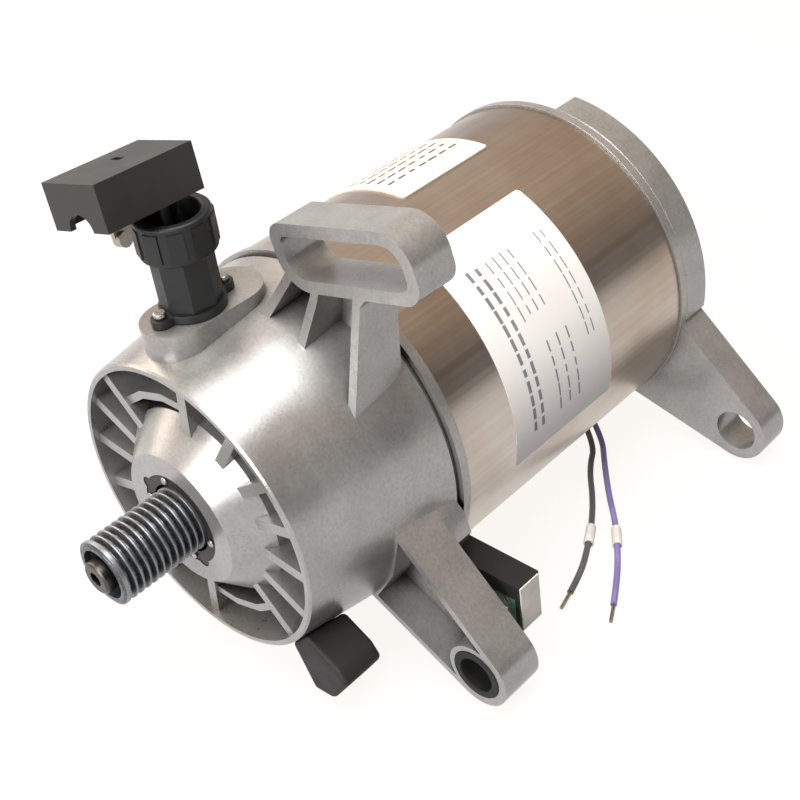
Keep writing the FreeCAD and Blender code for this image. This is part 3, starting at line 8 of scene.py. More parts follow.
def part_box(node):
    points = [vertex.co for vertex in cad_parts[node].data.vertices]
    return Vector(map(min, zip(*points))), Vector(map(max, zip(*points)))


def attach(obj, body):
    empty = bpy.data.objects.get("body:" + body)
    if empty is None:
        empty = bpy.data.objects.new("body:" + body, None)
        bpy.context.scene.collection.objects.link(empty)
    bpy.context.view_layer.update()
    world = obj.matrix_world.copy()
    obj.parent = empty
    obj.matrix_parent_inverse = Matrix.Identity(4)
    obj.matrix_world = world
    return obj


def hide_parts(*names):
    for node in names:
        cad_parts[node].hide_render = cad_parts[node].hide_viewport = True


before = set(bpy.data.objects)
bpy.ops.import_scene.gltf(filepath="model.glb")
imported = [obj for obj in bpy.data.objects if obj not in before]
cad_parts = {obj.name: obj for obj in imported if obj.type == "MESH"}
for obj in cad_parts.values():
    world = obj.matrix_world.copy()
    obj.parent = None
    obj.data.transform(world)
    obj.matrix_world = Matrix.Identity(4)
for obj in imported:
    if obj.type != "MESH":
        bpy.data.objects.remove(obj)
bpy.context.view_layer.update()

bl_info = {
    "name": "DC Door Motor",
    "version": (1, 0, 0),
    "blender": (4, 5, 0),
    "location": "View3D > Sidebar > Door Motor",
    "description": "Dresses the packed solids of a lift door motor and sets its studio",
    "category": "Object",
}

MM = 0.001
FLOOR_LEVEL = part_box("rear_end_shield")[0].z
TUBE_LOW, TUBE_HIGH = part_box("yoke_tube")
TUBE_RADIUS = (TUBE_HIGH.x - TUBE_LOW.x) / 2
# the rim of the front casting lies this far behind the shaft end; places read off the photo count from it
RIM = 34 * MM


def linear(text):
    """An sRGB hex value as the linear colour that shaders take."""
    channels = [int(text[place:place + 2], 16) / 255 for place in (1, 3, 5)]
    return [c / 12.92 if c <= 0.04045 else ((c + 0.055) / 1.055) ** 2.4 for c in channels]


def shade(colour):
    """A colour with full cover, as a colour socket takes it."""
    return (*colour, 1.0)


def scaled(colour, factor):
    """A colour made lighter or darker."""
    return [min(1.0, c * factor) for c in colour]


def colour_choice(name, text, default):
    return bpy.props.FloatVectorProperty(
        name=name, description=text, default=linear(default), subtype="COLOR", min=0, max=1
    )


def length_choice(name, text, default):
    return bpy.props.FloatProperty(
        name=name, description=text, default=default, unit="LENGTH", subtype="DISTANCE", min=0, precision=5
    )


def power_choice(name, text, default):
    return bpy.props.FloatProperty(name=name, description=text, default=default, min=0, unit="POWER")


class MotorMetals(bpy.types.PropertyGroup):
    casting: colour_choice("Casting", "Die-cast aluminium of the end shields", "#abaaa8")
    casting_shadow: colour_choice("Casting, dull", "Duller patches of the casting skin", "#9e9d9b")
    tube: colour_choice("Tube", "Drawn steel of the yoke tube", "#c2bab2")
    tube_dark: colour_choice("Tube, dark streaks", "Drawing streaks along the tube", "#b8afa6")
    steel: colour_choice("Steel", "Ground steel of the screws and rivets", "#b4b2ae")
    black_oxide: colour_choice("Black oxide", "Oiled black skin of the pulley", "#585b5f")
    edge_round: length_choice("Edge round", "Round on the edges of the castings", 0.55 * MM)
    cast_grain: length_choice("Cast grain", "Size of the grain in the casting skin", 0.9 * MM)
    # painted shade: how far the darkening of the casting's corners and recesses reaches
    painted_shade_reach: length_choice("Painted shade reach", "How far the painted shade reaches out of corners", 9 * MM)
    streak_width: length_choice("Streak width", "Width of the tube's drawing streaks", 1.6 * MM)


class MotorPlastics(bpy.types.PropertyGroup):
    nylon: colour_choice("Nylon", "Black moulded nylon of the gland and encoder", "#131415")
    plug: colour_choice("Plug", "Dark moulding of the plug", "#23231f")
    rubber: colour_choice("Rubber", "Black rubber of the buffer and grommet", "#171718")
    board: colour_choice("Board", "Solder mask of the encoder board", "#5f8a77")
    socket: colour_choice("Socket", "Moulding of the encoder's socket and end plate", "#e4e2da")
    grain: length_choice("Grain", "Size of the moulded grain", 0.5 * MM)
    cap_ribs: bpy.props.IntProperty(
        name="Cap ribs", description="Grip ribs round the gland cap", default=10, min=3, max=80
    )


class MotorLeads(bpy.types.PropertyGroup):
    violet: colour_choice("Violet", "Jacket of the violet lead", "#8478ae")
    grey: colour_choice("Grey", "Jacket of the grey lead", "#58585c")
    marker: colour_choice("Marker", "Sleeves on the leads", "#e9e8e2")
    diameter: length_choice("Diameter", "Diameter over the jacket", 2.0 * MM)
    strands: bpy.props.IntProperty(
        name="Strands", description="Bare strands at each end", default=7, min=3, max=19
    )


class MotorLabels(bpy.types.PropertyGroup):
    paper: colour_choice("Paper", "Paper of the label", "#f3f2f0")
    ink: colour_choice("Ink", "Ruled lines on the label", "#808288")
    plate: colour_choice("Plate", "Satin aluminium of the rating plate", "#ece6da")
    plate_ink: colour_choice("Plate ink", "Ruled lines on the plate", "#57544f")
    label_front: length_choice("Label front", "Label's front edge, from the shaft end", RIM + 75.8 * MM)
    label_back: length_choice("Label back", "Label's back edge, from the shaft end", RIM + 121.2 * MM)
    plate_front: length_choice("Plate front", "Plate's front edge, from the shaft end", RIM + 93.2 * MM)
    plate_back: length_choice("Plate back", "Plate's back edge, from the shaft end", RIM + 131 * MM)
    thickness: length_choice("Thickness", "Thickness of the label", 0.12 * MM)
    plate_thickness: length_choice("Plate thickness", "Thickness of the plate", 0.5 * MM)


class MotorStage(bpy.types.PropertyGroup):
    floor: colour_choice("Floor", "What the floor's paper throws back of the lamps", "#50525a")
    key_power: power_choice("Key power", "Power of the key lamp", 10.0)
    side_power: power_choice("Side power", "Power of the warm lamp at the left", 9.0)
    front_power: power_choice("Front power", "Power of the lamp before the shaft end", 10.0)
    lens: bpy.props.FloatProperty(
        name="Lens", description="Focal length on a 36 mm frame", default=61.73, min=10, unit="CAMERA"
    )


def choices(name):
    """A group of choices, as it is set in the scene."""
    return getattr(bpy.context.scene, name)


# Materials


def set_inputs(tree, node, inputs):
    """Sets a node's inputs by name; an input that is a socket is linked, any other is a value."""
    for name, value in inputs.items():
        if isinstance(value, bpy.types.NodeSocket):
            tree.links.new(value, node.inputs[name])
        else:
            node.inputs[name].default_value = value


def add_node(tree, kind, settings=None, inputs=None):
    """Adds a node with its settings and inputs."""
    node = tree.nodes.new(kind)
    for name, value in (settings or {}).items():
        setattr(node, name, value)
    set_inputs(tree, node, inputs or {})
    return node


def start_material(name):
    """A new material with its tree and shader, or the one made before, with no tree.

    The imported model.glb brings a plain material named after each slot, so no name here is that of a slot.
    """
    material = bpy.data.materials.get(name)
    if material is not None:
        return material, None, None
    material = bpy.data.materials.new(name)
    material.use_nodes = True
    tree = material.node_tree
    tree.nodes.clear()
    shader = add_node(tree, "ShaderNodeBsdfPrincipled")
    add_node(tree, "ShaderNodeOutputMaterial", inputs={"Surface": shader.outputs["BSDF"]})
    return material, tree, shader


def object_place(tree):
    return add_node(tree, "ShaderNodeTexCoord").outputs["Object"]


def along_shaft(tree, place, across, along):
    """Coordinates for a pattern with one size across the shaft and another along it."""
    return add_node(tree, "ShaderNodeMapping", inputs={
        "Vector": place, "Scale": (1 / across, 1 / along, 1 / across)}).outputs["Vector"]


def noise(tree, place, size, detail, roughness=0.5):
    """A noise pattern with spots of about a size."""
    return add_node(tree, "ShaderNodeTexNoise", inputs={
        "Vector": place, "Scale": 1 / size, "Detail": detail, "Roughness": roughness}).outputs["Fac"]


def ramp(tree, pattern, stops):
    """Colours for a pattern, from (place, colour) stops."""
    node = add_node(tree, "ShaderNodeValToRGB", inputs={"Fac": pattern})
    elements = node.color_ramp.elements
    while len(elements) < len(stops):
        elements.new(0.5)
    for element, (place, colour) in zip(elements, stops):
        element.position = place
        element.color = shade(colour)
    return node.outputs["Color"]


def multiplied(tree, first, second):
    return add_node(tree, "ShaderNodeMixRGB", {"blend_type": "MULTIPLY"}, {
        "Fac": 1.0, "Color1": first, "Color2": second}).outputs["Color"]


def between(tree, pattern, low, high):
    """Spreads the middle of a noise pattern over a range of values."""
    return add_node(tree, "ShaderNodeMapRange", inputs={
        "Value": pattern, "From Min": 0.3, "From Max": 0.7, "To Min": low, "To Max": high}).outputs["Result"]


def raised(tree, pattern, strength, depth):
    """Normals for a surface that a pattern raises a little."""
    return add_node(tree, "ShaderNodeBump", inputs={
        "Strength": strength, "Distance": depth, "Height": pattern}).outputs["Normal"]


def die_cast_aluminium():
    """Pressure die-cast aluminium: a satin grey skin with soft flow marks and fine grain, with painted shade
    darkening its corners and recesses.
    """
    material, tree, shader = start_material("die_cast_aluminium")
    if tree is None:
        return material
    metals = choices("motor_metals")
    place = object_place(tree)
    flow = noise(tree, place, 14 * MM, 4.0, 0.55)
    grain = noise(tree, place, metals.cast_grain, 3.0, 0.6)
    skin = ramp(tree, flow, [(0.32, metals.casting_shadow), (0.62, metals.casting)])
    speck = ramp(tree, grain, [(0.3, [0.82] * 3), (0.62, [1.0] * 3)])
    # painted shade: ambient occlusion darkens the skin in corners, recesses and rib cells, standing for the
    # shade that falls there
    corner = add_node(tree, "ShaderNodeAmbientOcclusion", {"samples": 8}, {"Distance": metals.painted_shade_reach})
    painted_corner_shade = ramp(tree, corner.outputs["AO"], [(0.22, linear("#46423d")), (0.6, [1.0] * 3)])
    set_inputs(tree, shader, {
        "Base Color": multiplied(tree, multiplied(tree, skin, speck), painted_corner_shade),
        "Roughness": between(tree, flow, 0.25, 0.34),
        "Normal": raised(tree, grain, 0.22, 0.12 * MM),
        "Metallic": 0.6,
    })
    return material


def drawn_steel():
    """Drawn steel tube under a thin oil film: brownish and bright, with long faint streaks along its axis."""
    material, tree, shader = start_material("drawn_steel")
    if tree is None:
        return material
    metals = choices("motor_metals")
    place = object_place(tree)
    streak_length = 600 * MM
    streaks = noise(tree, along_shaft(tree, place, metals.streak_width, streak_length), 1.0, 2.0)
    cloud = noise(tree, place, 35 * MM, 3.0)
    metal = ramp(tree, streaks, [(0.3, metals.tube_dark), (0.66, metals.tube)])
    film = ramp(tree, cloud, [(0.35, linear("#eae0d6")), (0.65, linear("#ffffff"))])
    set_inputs(tree, shader, {
        "Base Color": multiplied(tree, metal, film),
        "Roughness": between(tree, streaks, 0.28, 0.33),
        "Normal": raised(tree, streaks, 0.015, 0.03 * MM),
        "Metallic": 1.0,
    })
    return material


def ground_steel(name="ground_steel", colour=None, low=0.22, high=0.36):
    """Turned and ground metal: bright, with fine rings of tool marks blurred by handling."""
    material, tree, shader = start_material(name)
    if tree is None:
        return material
    colour = colour or choices("motor_metals").steel
    marks = noise(tree, along_shaft(tree, object_place(tree), 9 * MM, 0.4 * MM), 1.0, 3.0)
    set_inputs(tree, shader, {
        "Base Color": ramp(tree, marks, [(0.3, scaled(colour, 0.75)), (0.7, colour)]),
        "Roughness": between(tree, marks, low, high),
        "Metallic": 1.0,
    })
    return material


def tinned_wire():
    """Tinned copper: a dull silvery metal."""
    return ground_steel("tinned_wire", linear("#b7b1a6"), 0.28, 0.42)


def blackened_steel():
    """Steel with an oiled black oxide skin: dark and half glossy, with a painted highlight that makes the
    crests pale.
    """
    material, tree, shader = start_material("blackened_steel")
    if tree is None:
        return material
    colour = choices("motor_metals").black_oxide
    place = object_place(tree)
    wear = noise(tree, place, 1.2 * MM, 4.0, 0.65)
    skin = ramp(tree, wear, [(0.4, scaled(colour, 0.6)), (0.72, scaled(colour, 2.2))])
    flat = add_node(tree, "ShaderNodeVectorMath", {"operation": "MULTIPLY"})
    tree.links.new(place, flat.inputs[0])
    flat.inputs[1].default_value = (1, 0, 1)
    reach = add_node(tree, "ShaderNodeVectorMath", {"operation": "LENGTH"})
    tree.links.new(flat.outputs["Vector"], reach.inputs[0])
    # painted highlight: the skin turns pale near the crests' radius, standing for the bright sheen along the
    # crests
    low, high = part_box("drive_pulley")
    crest = (high.z - low.z) / 2
    crest_sheen = add_node(tree, "ShaderNodeMapRange", inputs={
        "Value": reach.outputs["Value"], "From Min": crest - 0.45 * MM, "From Max": crest - 0.05 * MM})
    tint = add_node(tree, "ShaderNodeMixRGB", inputs={
        "Fac": crest_sheen.outputs["Result"], "Color1": skin, "Color2": shade(linear("#8e9093"))})
    set_inputs(tree, shader, {
        "Base Color": tint.outputs["Color"],
        "Roughness": between(tree, wear, 0.42, 0.26),
        "Metallic": 0.7,
    })
    return material


def moulded(name, colour, grain, low, high, strength=0.25, patches=0.18, metallic=0.0):
    """A moulded skin: even colour, a fine grain from the mould, and dull patches where it was handled."""
    material, tree, shader = start_material(name)
    if tree is None:
        return material
    place = object_place(tree)
    texture = noise(tree, place, grain, 2.0)
    handled = noise(tree, place, 9 * MM, 3.0)
    set_inputs(tree, shader, {
        "Base Color": ramp(tree, handled, [
            (0.3, scaled(colour, 1 - patches)), (0.7, scaled(colour, 1 + patches))]),
        "Roughness": between(tree, handled, low, high),
        "Normal": raised(tree, texture, strength, 0.05 * MM),
        "Metallic": metallic,
    })
    return material


def moulded_nylon():
    """Black nylon from a fine mould: half matt."""
    plastics = choices("motor_plastics")
    return moulded("moulded_nylon", plastics.nylon, plastics.grain, 0.42, 0.58)


def matt_nylon():
    """The same nylon from a rougher mould: nearly black from every side."""
    plastics = choices("motor_plastics")
    return moulded("matt_nylon", scaled(plastics.nylon, 0.6), plastics.grain, 0.62, 0.75)


def moulded_rubber():
    """Black rubber: dull, with a coarse grain."""
    return moulded("moulded_rubber", choices("motor_plastics").rubber, 0.8 * MM, 0.55, 0.75)


def solder_mask():
    """Solder mask of a circuit board: green, smooth and half glossy."""
    return moulded("solder_mask", choices("motor_plastics").board, 0.7 * MM, 0.25, 0.4, strength=0.1)


def label_paper():
    """Coated label paper: white, faintly fibrous, with a weak gloss."""
    paper = choices("motor_labels").paper
    return moulded("label_paper", paper, 0.25 * MM, 0.45, 0.6, strength=0.08, patches=0.02)


def plate_aluminium():
    """Satin anodised aluminium sheet: pale, and only in part as mirror-like as bare metal."""
    plate = choices("motor_labels").plate
    return moulded("plate_aluminium", plate, 0.3 * MM, 0.4, 0.55, strength=0.05, patches=0.04, metallic=0.35)


def printed_ink(name, colour):
    """Printed ink: even and dull."""
    return moulded(name, colour, 0.25 * MM, 0.5, 0.65, strength=0.05)


# Meshes


# corners of a solid's mesh closer than this are one
WELD = 0.002 * MM
# neighbouring triangles that turn by less than this are one flat face
FLAT_ANGLE = math.radians(0.6)
# edges that turn by more than this are rounded
EDGE_ANGLE = math.radians(38)


def place_object(name, data):
    item = bpy.data.objects.new(name, data)
    bpy.context.scene.collection.objects.link(item)
    return item


def finish_piece(item, material, body="stator"):
    """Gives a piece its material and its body."""
    item.data.materials.clear()
    item.data.materials.append(material)
    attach(item, body)


def smooth(mesh, angle=32):
    mesh.shade_smooth()
    mesh.set_sharp_from_angle(angle=math.radians(angle))


def mesh_object(name, work):
    """Ends the work on a mesh and places it as an object."""
    mesh = bpy.data.meshes.new(name)
    work.to_mesh(mesh)
    work.free()
    return place_object(name, mesh)


def bake_modifiers(item):
    """Turns an object with modifiers into a plain mesh."""
    graph = bpy.context.evaluated_depsgraph_get()
    mesh = bpy.data.meshes.new_from_object(item.evaluated_get(graph))
    item.modifiers.clear()
    item.data = mesh


def dressed(node, material, edge=0.0, segments=2, body="stator", turned=False, feet=None):
    """A joined copy of a solid's mesh with rounded edges, standing for the solid."""
    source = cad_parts[node].data
    work = bmesh.new()
    points = [work.verts.new(vertex.co) for vertex in source.vertices]
    for face in source.polygons:
        corners = [points[index] for index in face.vertices]
        if len(set(corners)) == len(corners):
            work.faces.new(corners)
    bmesh.ops.remove_doubles(work, verts=work.verts, dist=WELD)
    bmesh.ops.dissolve_limit(
        work, angle_limit=FLAT_ANGLE, verts=work.verts, edges=work.edges, use_dissolve_boundaries=False
    )
    if feet:
        sink_feet(work, *feet)
    item = mesh_object(node + "_looks", work)
    smooth(item.data)
    if edge:
        round_edges(item, edge, segments)
    if turned:
        true_turned_normals(item.data)
    finish_piece(item, material, body)
    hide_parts(node)
    return item


def round_edges(item, width, segments):
    """Rounds the sharp edges and keeps the flats between them flat in the light."""
    rounding = item.modifiers.new("Edges", "BEVEL")
    rounding.width = width
    rounding.segments = segments
    rounding.limit_method = "ANGLE"
    rounding.angle_limit = EDGE_ANGLE
    rounding.miter_outer = "MITER_ARC"
    rounding.harden_normals = False
    bake_modifiers(item)
    smooth(item.data, 40)
    flats = item.modifiers.new("Flats", "WEIGHTED_NORMAL")
    flats.keep_sharp = True
    bake_modifiers(item)


def sink_feet(work, reach, depth):
    """Carries what stands on a turned face a little way into it, so that no groove shows round the foot."""
    for vertex in work.verts:
        radial = Vector((vertex.co.x, 0, vertex.co.z))
        if radial.length < reach:
            vertex.co -= radial.normalized() * depth


def true_turned_normals(mesh):
    """Gives the faces that were turned round the shaft the normals of their cone or cylinder."""
    # a turned face is no end face, lies off the shaft and points straight out from it or in to it
    end_face = 0.2
    near_shaft = 2 * MM
    straight_out = 0.9975
    # corners further round the shaft than this from the middle of their face keep their normals
    widest = math.radians(12)
    normals = [corner.vector.copy() for corner in mesh.corner_normals]
    for face in mesh.polygons:
        across = Vector((face.normal.x, 0, face.normal.z))
        middle = Vector((face.center.x, 0, face.center.z))
        if across.length < end_face or middle.length < near_shaft:
            continue
        outward = across.normalized().dot(middle.normalized())
        if abs(outward) < straight_out:
            continue
        side = math.copysign(across.length, outward)
        for corner, index in zip(face.loop_indices, face.vertices):
            spot = mesh.vertices[index].co
            radial = Vector((spot.x, 0, spot.z)).normalized()
            if radial.angle(middle) < widest:
                normals[corner] = Vector((radial.x * side, face.normal.y, radial.z * side)).normalized()
    mesh.normals_split_custom_set(normals)


def coat(node, material):
    """Gives a solid that stays as it is its material."""
    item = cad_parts[node]
    item.data.materials.clear()
    item.data.materials.append(material)


def on_tube(station, angle, lift=0.0):
    """A point on the tube, by its place along the shaft and its angle from +X towards +Z."""
    reach = TUBE_RADIUS + lift
    return Vector((reach * math.cos(angle), station, reach * math.sin(angle)))


def tube_patch(name, front, back, low, high, lift, thickness, corner):
    """A thin sheet wrapped on the tube, with rounded corners and its own UV map in metres."""
    work = bmesh.new()
    wide = back - front
    tall = TUBE_RADIUS * (high - low)
    steps = 5
    slices = 28
    corner_arcs = (
        (wide - corner, corner, -90),
        (wide - corner, tall - corner, 0),
        (corner, tall - corner, 90),
        (corner, corner, 180),
    )
    outline = []
    for centre_u, centre_v, start in corner_arcs:
        for step in range(steps + 1):
            angle = math.radians(start + 90 * step / steps)
            outline.append((centre_u + corner * math.cos(angle), centre_v + corner * math.sin(angle)))
    work.faces.new([work.verts.new((u, v, 0)) for u, v in outline])
    for index in range(1, slices):
        geometry = work.verts[:] + work.edges[:] + work.faces[:]
        level = (0, tall * index / slices, 0)
        bmesh.ops.bisect_plane(work, geom=geometry, plane_co=level, plane_no=(0, 1, 0))
    layer = work.loops.layers.uv.new("Sheet")
    for face in work.faces:
        for loop in face.loops:
            loop[layer].uv = loop.vert.co.xy
    for vertex in work.verts:
        u, v = vertex.co.x, vertex.co.y
        vertex.co = on_tube(front + u, low + v / TUBE_RADIUS, lift)
    bmesh.ops.recalc_face_normals(work, faces=work.faces)
    outward = 0.0
    for face in work.faces:
        middle = face.calc_center_median()
        outward += face.normal.dot(Vector((middle.x, 0, middle.z)))
    if outward < 0:
        bmesh.ops.reverse_faces(work, faces=work.faces)
    item = mesh_object(name, work)
    wall = item.modifiers.new("Wall", "SOLIDIFY")
    wall.thickness = thickness
    wall.offset = 1.0
    bake_modifiers(item)
    smooth(item.data)
    return item


# Geometry node trees


def start_tree(name, sizes):
    """A geometry tree with named number inputs; returns the tree, its inputs and its output node."""
    tree = bpy.data.node_groups.new(name, "GeometryNodeTree")
    tree.interface.new_socket("Geometry", in_out="OUTPUT", socket_type="NodeSocketGeometry")
    for label, value in sizes.items():
        kind = "NodeSocketInt" if isinstance(value, int) else "NodeSocketFloat"
        tree.interface.new_socket(label, in_out="INPUT", socket_type=kind)
    source = add_node(tree, "NodeGroupInput")
    return tree, source.outputs, add_node(tree, "NodeGroupOutput")


def set_out(tree, end, material, points, shape, **settings):
    """Ends a tree: sets a shape on each point, makes the copies real and gives them their material."""
    spread = add_node(tree, "GeometryNodeInstanceOnPoints", inputs={
        "Points": points, "Instance": shape, **settings})
    solid = add_node(tree, "GeometryNodeRealizeInstances", inputs={"Geometry": spread.outputs["Instances"]})
    painted = add_node(tree, "GeometryNodeSetMaterial", inputs={
        "Geometry": solid.outputs["Geometry"], "Material": material})
    tree.links.new(painted.outputs["Geometry"], end.inputs["Geometry"])
    return tree


def grow(name, tree, sizes):
    """Runs a geometry tree with its sizes and keeps the result as a plain mesh."""
    item = place_object(name, bpy.data.meshes.new(name))
    modifier = item.modifiers.new("Grow", "NODES")
    modifier.node_group = tree
    for socket in tree.interface.items_tree:
        if socket.in_out == "INPUT" and socket.name in sizes:
            modifier[socket.identifier] = sizes[socket.name]
    bake_modifiers(item)
    if not len(item.data.polygons):
        raise RuntimeError(f"{name} came out empty")
    return item


def point_grid(tree, wide, tall, columns, rows):
    return add_node(tree, "GeometryNodeMeshGrid", inputs={
        "Size X": wide, "Size Y": tall, "Vertices X": columns, "Vertices Y": rows}).outputs["Mesh"]


def point_circle(tree, count, radius):
    return add_node(tree, "GeometryNodeMeshCircle", {"fill_type": "NONE"}, {
        "Vertices": count, "Radius": radius}).outputs["Mesh"]


def vector_of(tree, x, y, z):
    return add_node(tree, "ShaderNodeCombineXYZ", inputs={"X": x, "Y": y, "Z": z}).outputs["Vector"]


def cap_rib_tree(material, sizes):
    """Upright grip ribs, evenly spaced on a circle."""
    tree, size, end = start_tree("cap_ribs", sizes)
    points = point_circle(tree, size["Count"], size["Radius"])
    slab = vector_of(tree, size["Depth"], size["Width"], size["Height"])
    rib = add_node(tree, "GeometryNodeMeshCube", inputs={"Size": slab})
    where = add_node(tree, "GeometryNodeInputPosition")
    facing = add_node(tree, "FunctionNodeAlignRotationToVector", {"axis": "X"}, {
        "Vector": where.outputs["Position"]})
    return set_out(tree, end, material, points, rib.outputs["Mesh"], Rotation=facing.outputs["Rotation"])


def strand_tree(material, sizes):
    """A bundle of strands side by side, each with a small seeded lean."""
    tree, size, end = start_tree("bare_strands", sizes)
    points = point_circle(tree, size["Count"], size["Spread"])
    rod = add_node(tree, "GeometryNodeMeshCylinder", inputs={
        "Vertices": 8, "Radius": size["Radius"], "Depth": size["Length"]})
    lean = 0.06
    leans = add_node(tree, "FunctionNodeRandomValue", {"data_type": "FLOAT_VECTOR"}, {"Seed": 3})
    leans.inputs[0].default_value = (-lean, -lean, 0)
    leans.inputs[1].default_value = (lean, lean, 0)
    return set_out(tree, end, material, points, rod.outputs["Mesh"], Rotation=leans.outputs[0])


def solder_tree(material, sizes):
    """Beads of solder in rows on a flat board."""
    tree, size, end = start_tree("solder_beads", sizes)
    points = point_grid(tree, size["Span"], size["Rise"], size["Columns"], size["Rows"])
    bead = add_node(tree, "GeometryNodeMeshUVSphere", inputs={
        "Segments": 12, "Rings": 6, "Radius": size["Radius"]})
    return set_out(tree, end, material, points, bead.outputs["Mesh"])


INK_THICK = 0.05 * MM
SHORTEST_BAR, LONGEST_BAR = 0.45, 0.95


def ruled_line_tree(material, sizes):
    """Rows of thin bars of seeded lengths in a flat field, as on a blank form."""
    tree, size, end = start_tree("ruled_lines", sizes)
    points = point_grid(tree, size["Depth"], size["Length"], size["Rows"], size["Bars"])
    bar = add_node(tree, "GeometryNodeMeshCube", inputs={
        "Size": vector_of(tree, size["Stroke"], size["Bar"], INK_THICK),
        "Vertices X": 2, "Vertices Y": 6, "Vertices Z": 2})
    stretch = add_node(tree, "FunctionNodeRandomValue", {"data_type": "FLOAT"}, {"Seed": 11})
    numbers = [socket for socket in stretch.inputs if socket.type == "VALUE"]
    for socket in numbers:
        if socket.name == "Min":
            socket.default_value = SHORTEST_BAR
        if socket.name == "Max":
            socket.default_value = LONGEST_BAR
    share = [socket for socket in stretch.outputs if socket.type == "VALUE"][0]
    return set_out(tree, end, material, points, bar.outputs["Mesh"], Scale=vector_of(tree, 1.0, share, 1.0))


# Operators, one for each piece or group


class MOTOR_OT_castings(bpy.types.Operator):
    """Dress the two die-cast end shields and the loop on the front one"""

    bl_idname = "motor.castings"
    bl_label = "End shields"

    def execute(self, context):
        metal = die_cast_aluminium()
        edge = choices("motor_metals").edge_round
        dressed("front_end_shield", metal, edge, turned=True)
        dressed("tension_loop", metal, edge, feet=(TUBE_RADIUS, 1.2 * MM))
        dressed("rear_end_shield", metal, edge, turned=True)
        return {"FINISHED"}


class MOTOR_OT_tube(bpy.types.Operator):
    """Dress the yoke tube"""

    bl_idname = "motor.tube"
    bl_label = "Yoke tube"

    def execute(self, context):
        dressed("yoke_tube", drawn_steel(), 0.25 * MM, turned=True)
        return {"FINISHED"}


class MOTOR_OT_rotor(bpy.types.Operator):
    """Dress the shaft and the belt pulley"""

    bl_idname = "motor.rotor"
    bl_label = "Shaft and pulley"

    def execute(self, context):
        steel = ground_steel("shaft_steel", linear("#5c5a56"), 0.3, 0.42)
        dressed("rotor_shaft", steel, 0.15 * MM, body="rotor")
        dressed("drive_pulley", blackened_steel(), 0.1 * MM, body="rotor")
        return {"FINISHED"}


class MOTOR_OT_seal(bpy.types.Operator):
    """Dress the seal ring in the face of the hub"""

    bl_idname = "motor.seal"
    bl_label = "Seal ring"

    def execute(self, context):
        dressed("seal_ring", moulded_nylon(), 0.2 * MM)
        dressed("seal_rivets", ground_steel(), 0.35 * MM, 3)
        return {"FINISHED"}


class MOTOR_OT_gland(bpy.types.Operator):
    """Dress the cable gland and give its cap grip ribs"""

    bl_idname = "motor.gland"
    bl_label = "Cable gland"

    def execute(self, context):
        nylon = moulded_nylon()
        dressed("gland_flange", nylon, 0.4 * MM)
        dressed("gland_body", nylon, 0.5 * MM)
        dressed("gland_cap", nylon, 1.0 * MM, 3)
        dressed("gland_screws", ground_steel(), 0.4 * MM, 3)
        low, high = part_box("gland_cap")
        rib_share = 0.7
        sizes = {
            "Count": choices("motor_plastics").cap_ribs,
            "Radius": (high.x - low.x) / 2,
            "Depth": 0.5 * MM,
            "Width": 4.2 * MM,
            "Height": (high.z - low.z) * rib_share,
        }
        ribs = grow("gland_cap_ribs", cap_rib_tree(nylon, sizes), sizes)
        ribs.data.transform(Matrix.Translation((low + high) / 2))
        finish_piece(ribs, nylon)
        return {"FINISHED"}


class MOTOR_OT_plug(bpy.types.Operator):
    """Dress the plug and its two short leads"""

    bl_idname = "motor.plug"
    bl_label = "Plug"

    def execute(self, context):
        casing = moulded("plug_moulding", choices("motor_plastics").plug, 0.5 * MM, 0.34, 0.46)
        dressed("plug_housing", casing, 0.45 * MM)
        dressed("plug_leads", moulded_nylon())
        dressed("plug_contacts", tinned_wire(), 0.15 * MM)
        return {"FINISHED"}


class MOTOR_OT_rubber(bpy.types.Operator):
    """Dress the rubber buffer and the pivot bush"""

    bl_idname = "motor.rubber"
    bl_label = "Buffer and bush"

    def execute(self, context):
        dressed("rubber_buffer", moulded_rubber(), 2.8 * MM, 4)
        dressed("pivot_bush", matt_nylon(), 0.5 * MM)
        return {"FINISHED"}


class MOTOR_OT_encoder(bpy.types.Operator):
    """Dress the encoder housing, its board and its socket"""

    bl_idname = "motor.encoder"
    bl_label = "Encoder"

    def execute(self, context):
        dressed("encoder_housing", matt_nylon(), 0.35 * MM)
        dressed("encoder_board", solder_mask(), 0.1 * MM)
        moulding = moulded("socket_moulding", choices("motor_plastics").socket, 0.4 * MM, 0.35, 0.45)
        dressed("encoder_socket", moulding, 0.2 * MM)
        self.solder()
        self.end_plate(moulding)
        return {"FINISHED"}

    def solder(self):
        """Puts the soldered pin ends on the front of the board, as flat beads."""
        sizes = {
            "Columns": 4,
            "Rows": 2,
            "Span": 14 * MM,
            "Rise": 5.2 * MM,
            "Radius": 1.1 * MM,
        }
        flatness = 0.35
        inset = 3.2 * MM
        tin = tinned_wire()
        pins = grow("board_solder", solder_tree(tin, sizes), sizes)
        low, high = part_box("encoder_board")
        middle_x = high.x - inset - sizes["Span"] / 2
        middle_z = (low.z + high.z) / 2
        for vertex in pins.data.vertices:
            across, rise, lift = vertex.co
            vertex.co = Vector((middle_x + across, low.y - flatness * lift, middle_z + rise))
        pins.data.shade_smooth()
        finish_piece(pins, tin)

    def end_plate(self, moulding):
        """Closes the outer end of the housing with a thin pale plate."""
        low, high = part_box("encoder_housing")
        thickness = 0.4 * MM
        inset = 0.5 * MM
        size = Vector((thickness, high.y - low.y - 2 * inset, high.z - low.z - 2 * inset))
        middle = Vector((high.x + thickness / 2, (low.y + high.y) / 2, (low.z + high.z) / 2))
        work = bmesh.new()
        bmesh.ops.create_cube(work, size=1.0)
        for vertex in work.verts:
            vertex.co = middle + vertex.co * size
        bmesh.ops.bevel(work, geom=work.edges[:], offset=thickness / 4, segments=2, affect="EDGES")
        finish_piece(mesh_object("encoder_end_plate", work), moulding)


